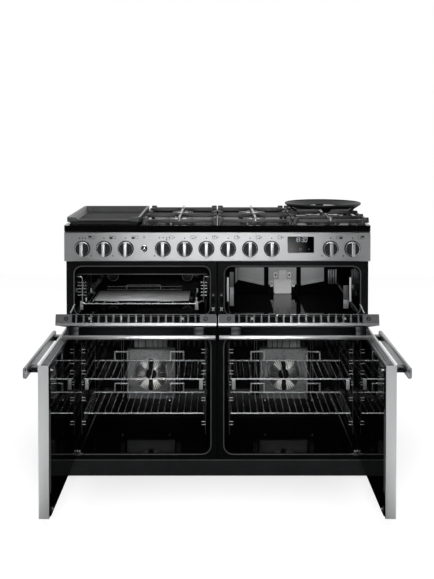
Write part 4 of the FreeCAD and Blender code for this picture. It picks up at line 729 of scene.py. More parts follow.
    def surround(self) -> None:
        """Surrounds the cooker: white where it is seen, graded for mirrors, even for the light that it gives."""
        world = bpy.data.worlds.new("studio")
        bpy.context.scene.world = world
        tree = fresh_tree(world)
        way = add_node(tree, "ShaderNodeTexCoord").outputs["Generated"]
        parts = add_node(tree, "ShaderNodeSeparateXYZ", inputs={0: way}).outputs
        front = ramp(tree, parts["Z"], self.front_rise, self.front_low_glow, self.front_glow)
        behind = ramp(tree, parts["Y"], self.behind_rise, front, 1.0)
        sides = ramp(tree, combine(tree, "ABSOLUTE", parts["X"]), self.side_rise, 0.0, self.side_glow)
        graded = combine(tree, "MAXIMUM", behind, sides)
        paths = add_node(tree, "ShaderNodeLightPath").outputs
        mirrored = combine(tree, "ADD", paths["Is Glossy Ray"], paths["Is Transmission Ray"], clamp=True)
        level = add_node(tree, "ShaderNodeMix", {"data_type": "FLOAT"}, {0: mirrored, 2: self.fill, 3: graded})
        shown = add_node(tree, "ShaderNodeMix", {"data_type": "FLOAT"}, {
            0: paths["Is Camera Ray"], 2: level.outputs[0], 3: 1.0})
        sky = add_node(tree, "ShaderNodeBackground", inputs={
            "Color": linear("#ffffff"), "Strength": shown.outputs[0]})
        add_node(tree, "ShaderNodeOutputWorld", inputs={"Surface": sky.outputs[0]})

    def lamp(self, name: str, place: Point, target: Point, extent: Pair, power: float,
             spread: float = OPEN_SPREAD) -> None:
        """Hangs one lamp that faces a target.

        Args:
            name: Its name.
            place: Where it hangs.
            target: What it faces.
            extent: Its width and height.
            power: Its power in watts.
            spread: The angle that its light fans out to; a gridded lamp is left out of mirrors.
        """
        light = bpy.data.lights.new(name, "AREA")
        light.shape = "RECTANGLE"
        light.size, light.size_y = extent
        light.energy = power
        light.spread = math.radians(spread)
        holder = link_object(name, light)
        holder.location = place
        way = Vector(target) - Vector(place)
        holder.rotation_euler = way.to_track_quat("-Z", "Y").to_euler()
        holder.visible_camera = False
        holder.visible_glossy = spread >= OPEN_SPREAD

    def clock_card(self) -> None:
        """Stands a small graded card where the clock's glass mirrors it, brightest low on the left."""
        made = bpy.data.materials.new("graded_clock_card")
        tree = fresh_tree(made)
        place = add_node(tree, "ShaderNodeTexCoord").outputs["Object"]
        parts = add_node(tree, "ShaderNodeSeparateXYZ", inputs={0: place}).outputs
        across = ramp(tree, parts["X"], self.card_fade_x, self.clock_glow, 0.0)
        up = ramp(tree, parts["Z"], self.card_fade_z, 1.0, self.card_top_share)
        glow = add_node(tree, "ShaderNodeEmission", inputs={
            "Color": linear("#ffffff"), "Strength": combine(tree, "MULTIPLY", across, up)})
        add_node(tree, "ShaderNodeOutputMaterial", inputs={"Surface": glow.outputs[0]})
        shape = bmesh.new()
        (left, right), (bottom, top) = self.card_x, self.card_z
        shape.faces.new([shape.verts.new((x, self.card_y, z))
                         for x, z in ((left, bottom), (left, top), (right, top), (right, bottom))])
        card = mesh_object("clock_card", shape, made)
        self.for_mirrors(card)


@dataclass(frozen=True)
class Hob:
    """The pressed hob top, its burners, pan supports, griddle and wok cradle.

    A burner is its X, Y and radius. A grate is its left and right side, how far its right feet stand in, and the
    numbers of its burners from the front.
    """

    low: Point = (-546.0, -58.0, 897.0)
    high: Point = (546.0, 558.0, 921.0)
    trough_rim: float = 14.0
    back_rim: float = 40.0
    trough_depth: float = 10.0
    corner: float = 10.0
    bullnose: float = 7.0
    lower_round: float = 4.5
    trough_round: float = 3.0
    burners: tuple[tuple[float, float, float], ...] = (
        (-137.0, 98.0, 48.0), (-137.0, 342.0, 36.0), (137.0, 342.0, 48.0), (137.0, 98.0, 36.0), (407.0, 235.0, 62.0))
    cap_low: float = 925.0
    cap_height: float = 7.0
    cap_overhang: float = 4.0
    bar: float = 12.0
    bar_top: float = 940.0
    finger_top: float = 947.0
    finger_tall: float = 13.0
    finger_draft: float = 2.4
    grate_front: float = -36.0
    grate_back: float = 462.0
    finger_gap: float = 20.0
    foot: float = 14.0
    grates: tuple[tuple[float, float, float, tuple[int, ...]], ...] = (
        (-268.5, -1.5, 0.0, (0, 1)), (1.5, 268.5, 0.0, (3, 2)), (271.5, 543.0, 14.0, (4,)))
    pad: float = 22.0
    griddle_low: Point = (-541.0, -23.0, 930.0)
    griddle_high: Point = (-277.0, 445.0, 947.0)
    griddle_rim: float = 9.0
    griddle_slope: float = 9.0
    griddle_floor: float = 925.0
    griddle_under: float = 919.2
    griddle_foot: float = 16.0
    griddle_corner: float = 10.0
    under_slope: float = 3.0
    lip_inset: float = 42.0
    lip_run: float = 12.0
    lip_drop: float = 7.0
    skirt_notch: float = 3.0
    cradle: Point = (407.0, 235.0, 947.4)
    cradle_top: float = 980.0
    cradle_rim: Pair = (137.0, 146.0)
    cradle_foot: Pair = (97.0, 110.0)
    cradle_legs: int = 4
    spark_reach: float = 11.0
    spark_turn: float = 0.6

    def build(self) -> None:
        """Builds the whole hob."""
        self.tray()
        self.caps()
        self.sparks()
        self.supports()
        self.griddle()
        self.wok_cradle()

    def tray(self) -> None:
        """The pressed top: a raised rim with a bullnosed front edge round a sunken trough."""
        shape = block(self.low, self.high, corner=self.corner, axis=2)
        left, front = self.low[0] + self.trough_rim, self.low[1] + self.trough_rim
        right, back = self.high[0] - self.trough_rim, self.high[1] - self.back_rim
        for axis, spot in ((0, left), (0, right), (1, front), (1, back)):
            slice_at(shape, axis, spot)
        top = [face for face in shape.faces if face.normal.z > 0.9
               and left < face.calc_center_median().x < right and front < face.calc_center_median().y < back]
        sunk = bmesh.ops.extrude_discrete_faces(shape, faces=top)["faces"]
        bmesh.ops.translate(shape, vec=(0, 0, -self.trough_depth), verts=[v for f in sunk for v in f.verts])
        bmesh.ops.dissolve_limit(shape, angle_limit=0.02, verts=shape.verts, edges=shape.edges)
        middle = (self.low[2] + self.high[2]) / 2
        edge_near = [e for e in sharp_edges(shape) if abs(e.verts[0].co.z - e.verts[1].co.z) < 0.1
                     and self.outside(e, left, front, right, back)]
        upper = [e for e in edge_near if e.verts[0].co.z > middle]
        soften(shape, self.bullnose, 6, upper)
        lower = [e for e in sharp_edges(shape) if max(v.co.z for v in e.verts) < self.low[2] + 0.1]
        soften(shape, self.lower_round, 4, lower)
        inner = [e for e in sharp_edges(shape) if not self.outside(e, left - 1, front - 1, right + 1, back + 1)]
        soften(shape, self.trough_round, 4, inner)
        Piece("hob_pressed_top", slot="black_enamel").add(shape, HOB_ENAMEL).done(stands_for=["hob_top"])

    def outside(self, edge: Edge, left: float, front: float, right: float, back: float) -> bool:
        """Tells whether an edge's middle lies outside the trough."""
        spot = (edge.verts[0].co + edge.verts[1].co) / 2
        return not (left < spot.x < right and front < spot.y < back)

    def caps(self) -> None:
        """The loose burner caps: flat enamelled discs with a rounded shoulder and a shallow turned step."""
        piece = Piece("burner_flat_caps", slot="cast_iron_black")
        for x, y, radius in self.burners:
            rim = radius + self.cap_overhang
            tall = self.cap_height
            profile = ((0, 0), (rim - 1.6, 0), (rim, 1.2), (rim, tall - 2.6), (rim - 1.0, tall - 1.0),
                       (rim - 3, tall - 0.1), (rim * 0.6, tall), (rim * 0.58, tall - 0.8),
                       (rim * 0.3, tall - 0.8), (0, tall - 0.8))
            piece.add(lathe(profile, 64), CAP_ENAMEL, at(x, y, self.cap_low))
        piece.done(stands_for=["burner_caps"])

    def sparks(self) -> None:
        """A ceramic spark electrode and a thermocouple beside each burner."""
        piece = Piece("burner_electrodes")
        floor = self.high[2] - self.trough_depth
        for x, y, radius in self.burners:
            reach = radius + self.spark_reach
            for turn, finish in ((-self.spark_turn, CERAMIC), (self.spark_turn, PLATED)):
                spot = at(x + reach * math.sin(turn), y - reach * math.cos(turn), floor)
                piece.add(drum(2.6, 9.0, 14, 0.5), finish, spot)
                piece.add(drum(1.0, 13.0, 10, 0.3), PLATED, spot)
        piece.done()

    def supports(self) -> None:
        """Three cast pan supports: frame bars, raised pads, tapered fingers towards the burners, and feet."""
        piece = Piece("cast_pan_supports", slot="cast_iron_black")
        for low, high, foot_inset, numbers in self.grates:
            burners = [self.burners[n] for n in numbers]
            for first, last in self.frame_bars(low, high, burners):
                piece.add(taper(first, last, 1.2, 1.6), CAST_IRON)
            for first, last in self.fingers(low, high, burners):
                endwise = last[1] - first[1] > last[0] - first[0]
                # The fore-and-aft fingers take the lighter copy, a painted highlight.
                piece.add(taper(first, last, self.finger_draft, 1.6), FINGER_IRON_HIGHLIGHT if endwise else CAST_IRON)
            self.feet(piece, low, high - foot_inset)
        piece.done(stands_for=["pan_supports"])

    def rows(self, burners: list[Point]) -> tuple[list[float], list[float]]:
        """Gives the middles of one support's cross bars, and the places where fingers start and stop."""
        half = self.bar / 2
        front, back = self.grate_front, self.grate_back
        if len(burners) > 1:
            middle = (front + back) / 2
            return [front + half, back - half, middle], [front, middle, back]
        y = burners[0][1]
        return [front + half, back - half, (y + front) / 2, (y + back) / 2], [front, back]

    def frame_bars(self, low: float, high: float, burners: list[Point]) -> list[tuple[Point, Point]]:
        """Lists one support's side bars, cross bars and raised pads.

        Args:
            low: Its left side.
            high: Its right side.
            burners: The burners under it, from the front.

        Returns:
            The lowest and highest corner of each.
        """
        bottom, half = self.bar_top - self.bar, self.bar / 2
        rows, _ = self.rows(burners)
        made = [((x, self.grate_front, bottom), (x + self.bar, self.grate_back, self.bar_top))
                for x in (low, high - self.bar)]
        for row in rows:
            made.append(((low, row - half, bottom), (high, row + half, self.bar_top)))
            for x in (low, high - self.pad):
                made.append(((x, row - half, bottom), (x + self.pad, row + half, self.finger_top)))
        return made

    def fingers(self, low: float, high: float, burners: list[Point]) -> list[tuple[Point, Point]]:
        """Lists the raised fingers that reach towards each burner.

        Args:
            low: The support's left side.
            high: Its right side.
            burners: The burners under it, from the front.

        Returns:
            The lowest and highest corner of each.
        """
        bottom, top, half = self.finger_top - self.finger_tall, self.finger_top, self.bar / 2
        _, stops = self.rows(burners)
        made = []
        for (x, y, _), near, far in zip(burners, stops, stops[1:]):
            for first, last in (((low, y - half), (x - self.finger_gap, y + half)),
                                ((x + self.finger_gap, y - half), (high, y + half)),
                                ((x - half, near), (x + half, y - self.finger_gap)),
                                ((x - half, y + self.finger_gap), (x + half, far))):
                made.append((first + (bottom,), last + (top,)))
        return made

    def feet(self, piece: Piece, low: float, high: float) -> None:
        """Adds one support's four feet."""
        floor = self.high[2] - self.trough_depth
        for x in (low, high - self.foot):
            for y in (self.grate_front, self.grate_back - self.foot):
                piece.add(block((x, y, floor), (x + self.foot, y + self.foot, self.bar_top - 3), 1.4), CAST_IRON)

    def griddle(self) -> None:
        """The cast griddle: a sloping-sided tray in a skirted rim that dips at the front and the back."""
        low, high = Vector(self.griddle_low), Vector(self.griddle_high)
        rim, slope = self.griddle_rim, self.griddle_slope
        shape = block(low, high)
        dip = (low.x + self.lip_inset - self.lip_run, low.x + self.lip_inset,
               high.x - self.lip_inset, high.x - self.lip_inset + self.lip_run)
        for axis, spot in [(0, low.x + rim), (0, high.x - rim), (1, low.y + rim), (1, high.y - rim)] + [
                (0, x) for x in dip]:
            slice_at(shape, axis, spot)
        for way, level, draft in ((1, self.griddle_floor, slope), (-1, self.griddle_under, self.under_slope)):
            moved = self.push(shape, way, low, high, rim)
            for vert in moved:
                vert.co.z = level
            self.draw_in(moved, low, high, rim, draft)
        for vert in shape.verts:
            between = dip[1] - 1 < vert.co.x < dip[2] + 1
            if vert.co.y < low.y + rim + 0.5 and vert.co.z > high.z - 0.5 and between:
                vert.co.z -= self.lip_drop
            if vert.co.y < low.y + 0.5 and vert.co.z < low.z + 0.5 and between:
                vert.co.z += self.skirt_notch
        soften(shape, self.griddle_corner, 6, [edge for edge in edges_along(shape, 2) if all(
            min(abs(edge.verts[0].co[axis] - low[axis]), abs(edge.verts[0].co[axis] - high[axis])) < 0.1
            for axis in (0, 1))])
        soften(shape, 1.8, 3)
        piece = Piece("cast_griddle", "griddle", "cast_iron_black").add(shape, GRIDDLE_IRON)
        ground = self.high[2] - self.trough_depth + 0.3
        side = self.griddle_foot
        for x in (low.x + side, high.x - side * 2):
            for y in (low.y + side, high.y - side * 2):
                piece.add(block((x, y, ground), (x + side, y + side, low.z - 4), 1.5), GRIDDLE_IRON)
        inner = rim + slope + 1.5
        piece.add(block((low.x + inner, low.y + inner, self.griddle_floor - 0.2),
                        (high.x - inner, high.y - inner, self.griddle_floor + 0.3), 0.2), SEASONED_IRON)
        piece.done(stands_for=["griddle"])

    def push(self, shape: Shape, way: int, low: Vector, high: Vector, rim: float) -> list[Vert]:
        """Frees the middle of the griddle's top or underside to be moved, and gives its points."""
        middle = [face for face in shape.faces if face.normal.z * way > 0.9
                  and low.x + rim < face.calc_center_median().x < high.x - rim
                  and low.y + rim < face.calc_center_median().y < high.y - rim]
        made = bmesh.ops.extrude_face_region(shape, geom=middle)["geom"]
        bmesh.ops.delete(shape, geom=middle, context="FACES")
        return [item for item in made if isinstance(item, Vert)]

    def draw_in(self, verts: list[Vert], low: Vector, high: Vector, rim: float, slope: float) -> None:
        """Moves the outline of those points inwards, so that the walls slope."""
        for vert in verts:
            if vert.co.x < low.x + rim + 1:
                vert.co.x += slope
            elif vert.co.x > high.x - rim - 1:
                vert.co.x -= slope
            if vert.co.y < low.y + rim + 1:
                vert.co.y += slope
            elif vert.co.y > high.y - rim - 1:
                vert.co.y -= slope

    def wok_cradle(self) -> None:
        """The cast wok ring: a dished wall under a rounded rim, on four legs that narrow downwards."""
        x, y, base = self.cradle
        top = self.cradle_top
        inner, outer = self.cradle_rim
        near, far = self.cradle_foot
        piece = Piece("cast_wok_cradle", "wok_cradle", "cast_iron_black")
        dish = ((inner, top - 3), (inner + 1.6, top - 0.6), (inner + 3.4, top), (outer - 3, top),
                (outer - 0.8, top - 1), (outer, top - 3), (outer - 0.4, top - 7), (outer - 3, top - 8.6),
                (far + 3, top - 19.4), (far, top - 19.8), (far - 3.4, top - 18.4), (far - 4, top - 17))
        piece.add(lathe(dish, 96, closed=True), FINE_IRON, at(x, y, 0))
        for number in range(self.cradle_legs):
            turn = Matrix.Rotation(number * math.tau / self.cradle_legs, 4, "Z")
            leg = block((near, -8, base), (far, 8, top - 9))
            for vert in leg.verts:
                if vert.co.z > base + 5:
                    vert.co.x = outer - 3 if vert.co.x > (near + far) / 2 else outer - 15
                    vert.co.y *= 3.0
            piece.add(soften(leg, 1.8), FINE_IRON, at(x, y, 0) @ turn)
        piece.done(stands_for=["wok_cradle"])


@dataclass(frozen=True)
class Fascia:
    """The control panel's knobs, button, clock and printed marks.

    A box is the X of a pair of oven icons, the number of the filled one and whether it is filled in its upper half. A
    ring is which way the dot in a hob icon lies from its middle.
    """

    face: float = -50.0
    line: float = 837.4
    ovens: tuple[tuple[str, float], ...] = (
        ("left_outer_knob", -481.3), ("left_oven_knob", -404.0), ("left_grill_knob", -326.5),
        ("right_oven_knob", 404.0), ("right_outer_knob", 481.3))
    taps: tuple[tuple[str, float], ...] = (
        ("griddle_gas_knob", -194.0), ("left_front_gas_knob", -116.4), ("left_back_gas_knob", -38.8),
        ("right_back_gas_knob", 38.8), ("right_front_gas_knob", 116.4), ("wok_gas_knob", 194.0))
    stand_off: float = 0.6
    skirt: float = 28.5
    dial: float = 25.0
    depth: float = 32.0
    flat: float = 14.0
    grip: float = 11.6
    button: Pair = (-261.0, 9.5)
    clock_face: float = -50.6
    digit_place: Pair = (279.0, 861.8)
    digit_size: tuple[float, float, float] = (8.0, 15.2, 1.0)
    digit_slant: float = 0.14
    digits: tuple[tuple[str, float], ...] = (("bc", -5.2), ("abcdefg", 5.4), ("abgcd", 20.6), ("abcdef", 31.4))
    colon: Pair = (16.0, 17.8)
    colon_dots: Pair = (3.6, 9.8)
    touch_line: float = 835.3
    touch_places: tuple[float, float, float] = (266.4, 295.9, 326.5)
    touch_reach: float = 2.8
    touch_half: float = 0.6
    touch_ring: Pair = (3.6, 4.8)
    ink: float = 0.12
    icon_line: float = 872.0
    icon_tall: float = 11.5
    oven_icon: Pair = (10.6, 12.2)
    hob_icon: Pair = (21.4, 15.4)
    dot_round: float = 2.3
    low_dot_round: float = 2.4
    bulb_ring: Pair = (2.3, 3.3)
    bulb_lines: Pair = (873.6, 879.4)
    boxes: tuple[tuple[float, int, bool], ...] = (
        (-459.6, 0, True), (-384.6, 0, False), (-305.6, 0, False), (423.6, 1, False), (500.6, 1, True))
    rings: tuple[Pair, ...] = ((-1, 0), (0, -1), (0, 1), (1, 1), (1, -1), (1, 0))
    dots: tuple[Pair, ...] = (
        (-491.5, 874.7), (-480.9, 874.7), (-470.4, 874.7), (-404.2, 874.7), (-429.2, 849.8), (-326.5, 874.7),
        (-206.2, 876.4), (-193.4, 876.4), (-180.8, 876.4), (-180.8, 869.0), (-116.4, 874.7), (-38.8, 874.7),
        (38.8, 874.7), (116.4, 874.7), (194.0, 874.7), (404.0, 874.7), (481.3, 874.7))
    low_dots: tuple[float, ...] = (-450.0, -372.9, -223.6, 373.0, 449.4)
    low_dot_line: float = 811.5

    def build(self) -> None:
        """Builds the knobs, the button, the clock's segments and the ink."""
        for name, x in self.ovens + self.taps:
            self.knob(name, x)
        self.push_button()
        self.clock()
        self.marks()

    def knob(self, name: str, x: float) -> None:
        """One knob: a black skirt, a chrome bevel, a recessed dark face and a satin steel grip bar."""
        place = at(x, self.face - self.stand_off, self.line) @ FRONTWARDS
        piece = Piece(name + "_dial", name, "polished_steel")
        skirt, dial, flat = self.skirt, self.dial, self.flat
        piece.add(lathe(((0, 0), (skirt, 0), (skirt, 4.4), (skirt - 0.9, 5.6), (skirt - 2.6, 6.2), (dial - 1, 7),
                         (0, 7)), 64), SKIRT_BLACK, place)
        piece.add(lathe(((dial + 0.6, 6.0), (dial + 1.4, 7.4), (dial + 1.0, 9.5), (dial, flat + 0.4),
                         (dial - 0.8, flat + 1.2), (dial - 1.6, flat + 0.4), (dial - 1.9, flat - 1.4), (dial - 1.9, 6)),
                        64, closed=True), CHROME, place)
        piece.add(lathe(((0, 6.6), (dial - 2.0, 6.6), (dial - 2.0, flat - 1.6), (dial - 2.9, flat - 1.0),
                         (0, flat - 1.0)), 56), KNOB_LACQUER, place)
        grip = drum(dial - 0.4, self.depth - flat + 3, 72)
        for side in (-1, 1):
            cut = bmesh.ops.bisect_plane(grip, geom=grip.verts[:] + grip.edges[:] + grip.faces[:], dist=0.001,
                                         plane_co=(side * self.grip / 2, 0, 0), plane_no=(side, 0, 0),
                                         clear_outer=True)
            bmesh.ops.holes_fill(grip, edges=[e for e in cut["geom_cut"] if isinstance(e, Edge)],
                                 sides=0)
        bmesh.ops.translate(grip, vec=(0, 0, flat - 3), verts=grip.verts)
        piece.add(soften(grip, 1.3, 3), GRIP_STEEL, place)
        piece.add(block((-0.8, dial - 8, self.depth - 0.2), (0.8, dial - 2.4, self.depth + 0.12)), MOULDED, place)
        piece.done(stands_for=[name])

    def push_button(self) -> None:
        """The lamp button: a chrome ring round a dark collar and a bright domed cap."""
        x, radius = self.button
        piece = Piece("light_button_cap", "light_button", "polished_steel")
        place = at(x, self.face, self.line) @ FRONTWARDS
        piece.add(lathe(((0, -4), (radius - 0.1, -4), (radius - 0.1, 1.5), (radius - 1, 2.6), (radius - 3, 2.4),
                         (radius - 3.4, 1.6), (0, 1.6)), 40), MOULDED, place)
        piece.add(lathe(((0, 1), (radius - 4.2, 1), (radius - 4.6, 3.2), (radius - 6.4, 4), (0, 4)), 36), CHROME, place)
        piece.add(drum(4.0, 6.0, 20), MOULDED, place @ at(0, 0, -10))
        piece.done(stands_for=["light_button"])
        ring = lathe(((radius + 0.5, -0.2), (radius + 2.4, -0.2), (radius + 2.2, 0.9), (radius + 0.9, 1.2),
                      (radius + 0.5, 0.8)), 44, closed=True)
        Piece("light_button_ring", slot="polished_steel").add(ring, CHROME, place).done()

    def film(self, across: Pair, up: Pair) -> Shape:
        """A film of print or light that is drawn where Y is zero."""
        return plate(0.0, across, up, self.ink, back=0.0)

    def segments(self, lit: str) -> list[Shape]:
        """The lit bars of one digit, by their letters: clockwise from the top, with g across the middle."""
        wide, tall, line = self.digit_size
        half, gap = tall / 2, line * 0.3
        level = {"a": tall - line, "g": half - line / 2, "d": 0.0}
        upright = {"b": (wide - line, half), "c": (wide - line, 0.0), "f": (0.0, half), "e": (0.0, 0.0)}
        made = [self.film((gap, wide - gap), (level[key], level[key] + line)) for key in lit if key in level]
        for x, z in (upright[key] for key in lit if key in upright):
            made.append(self.film((x, x + line), (z + gap, z + half - gap)))
        return made

    def clock(self) -> None:
        """The clock's lit digits, and the minus, ring and plus touch marks under them."""
        piece = Piece("clock_segments")
        slant = Matrix(((1, 0, self.digit_slant, 0), (0, 1, 0, 0), (0, 0, 1, 0), (0, 0, 0, 1)))
        start, level = self.digit_place
        for lit, across in self.digits:
            for bar in self.segments(lit):
                piece.add(bar, CLOCK_LIGHT, at(start + across, self.clock_face, level) @ slant)
        left, right = self.colon
        for height in self.colon_dots:
            piece.add(self.film(self.colon, (height, height + right - left)), CLOCK_LIGHT,
                      at(start, self.clock_face, level) @ slant)
        minus, ring, plus = self.touch_places
        reach, half = self.touch_reach, self.touch_half
        for x, wide, tall in ((minus, reach, half), (plus, reach, half), (plus, half, reach)):
            piece.add(self.film((-wide, wide), (-tall, tall)), TOUCH_MARK, at(x, self.clock_face, self.touch_line))
        circle = hoop(*self.touch_ring, self.ink, 28)
        piece.add(circle, TOUCH_MARK, at(ring, self.clock_face, self.touch_line) @ FRONTWARDS)
        piece.done()

    def printed(self, x: float, z: float, wide: float, tall: float) -> Shape:
        """One printed rectangle on the panel."""
        return plate(self.face, (x, x + wide), (z, z + tall), self.ink, back=0.0)

    def outline(self, x: float, z: float, wide: float, tall: float, line: float = 1.1) -> list[Shape]:
        """Four thin strips that draw a printed box."""
        strips = ((x, z, wide, line), (x, z + tall - line, wide, line), (x, z, line, tall),
                  (x + wide - line, z, line, tall))
        return [self.printed(*strip) for strip in strips]

    def dot(self, piece: Piece, radius: float, x: float, z: float, sides: int = 14) -> None:
        """Prints a round dot, or an arrow head that points left with three sides."""
        turn = Matrix.Rotation(math.pi / 2, 4, "Z") if sides == 3 else Matrix()
        piece.add(drum(radius, self.ink, sides), INK, at(x, self.face, z) @ FRONTWARDS @ turn)

    def marks(self) -> None:
        """The printed marks: index dots, the oven and hob pictograms and a bulb over the button."""
        piece = Piece("panel_marks")
        tall = self.icon_tall
        wide, pitch = self.oven_icon
        for x, filled, high in self.boxes:
            for number in (0, 1):
                for strip in self.outline(x + number * pitch, self.icon_line, wide, tall):
                    piece.add(strip, INK)
            level = self.icon_line + (tall / 2 if high else 1.6)
            piece.add(self.printed(x + filled * pitch + 1.0, level - 0.6, wide - 2.0, tall / 2 + 0.2), INK)
        gap, wide = self.hob_icon
        for (_, knob), (across, up) in zip(self.taps, self.rings):
            x, middle = knob + gap, self.icon_line + tall / 2
            for strip in self.outline(x, self.icon_line, wide, tall):
                piece.add(strip, INK)
            self.dot(piece, 1.9, x + wide / 2 + across * 4.6, middle + up * 2.6)
            self.dot(piece, 2.8, x + wide + 4.0, middle, 3)
        for x, z in self.dots:
            self.dot(piece, self.dot_round, x, z)
        for x in self.low_dots:
            self.dot(piece, self.low_dot_round, x, self.low_dot_line)
        cap_line, bulb_line = self.bulb_lines
        bulb = hoop(*self.bulb_ring, self.ink, 24)
        piece.add(bulb, INK, at(self.button[0], self.face, bulb_line) @ FRONTWARDS)
        piece.add(self.printed(self.button[0] - 1.3, cap_line, 2.6, 2.4), INK)
        piece.done()



@dataclass(frozen=True)
class Swing:
    """How one door stands open: its pin, its axis and its angle."""

    side: int
    word: str
    upper: bool
    gap: float = 3.5
    outer: float = 543.0
    face: float = -50.0
    depth: float = 38.0
    upper_top: float = 787.0
    lower_top: float = 549.0
    upper_pin: Point = (0.0, -41.0, 563.5)
    upper_angle: float = 76.5
    lower_pin: Pair = (528.5, -33.0)
    lower_angle: float = 90.0

    @property
    def body(self) -> str:
        """The name of the body that the door's pieces ride on."""
        return f"{'upper' if self.upper else 'lower'}_{self.word}_door"

    @property
    def top(self) -> float:
        """The height of the shut door's top edge."""
        return self.upper_top if self.upper else self.lower_top

    @property
    def middle(self) -> float:
        """How far the door's middle is from the cooker's."""
        return (self.gap + self.outer) / 2

    @property
    def place(self) -> Matrix:
        """Turns what was drawn on the shut door to where the open door stands."""
        if self.upper:
            pin, axis, angle = Vector(self.upper_pin), Vector((1, 0, 0)), self.upper_angle
        else:
            across, back = self.lower_pin
            pin, axis, angle = Vector((self.side * across, back, 0)), Vector((0, 0, self.side)), self.lower_angle
        turn = Matrix.Rotation(math.radians(angle), 4, axis)
        return Matrix.Translation(pin) @ turn @ Matrix.Translation(-pin)

    def span(self, near: float, far: float) -> tuple[float, float]:
        """The lowest and highest X of a stretch given from the cooker's middle."""
        return on_side(self.side, near, far)

    def slab(self, across: Pair, back: Pair, up: Pair, soft: float = 0.0) -> Shape:
        """A block on the shut door.

        Args:
            across: Its near and far side, from the cooker's middle.
            back: Its front and back, from the door's face.
            up: Its bottom and top, as heights.
            soft: The rounding of its edges.

        Returns:
            The new shape.
        """
        low, high = self.span(*across)
        return block((low, self.face + back[0], up[0]), (high, self.face + back[1], up[1]), soft)


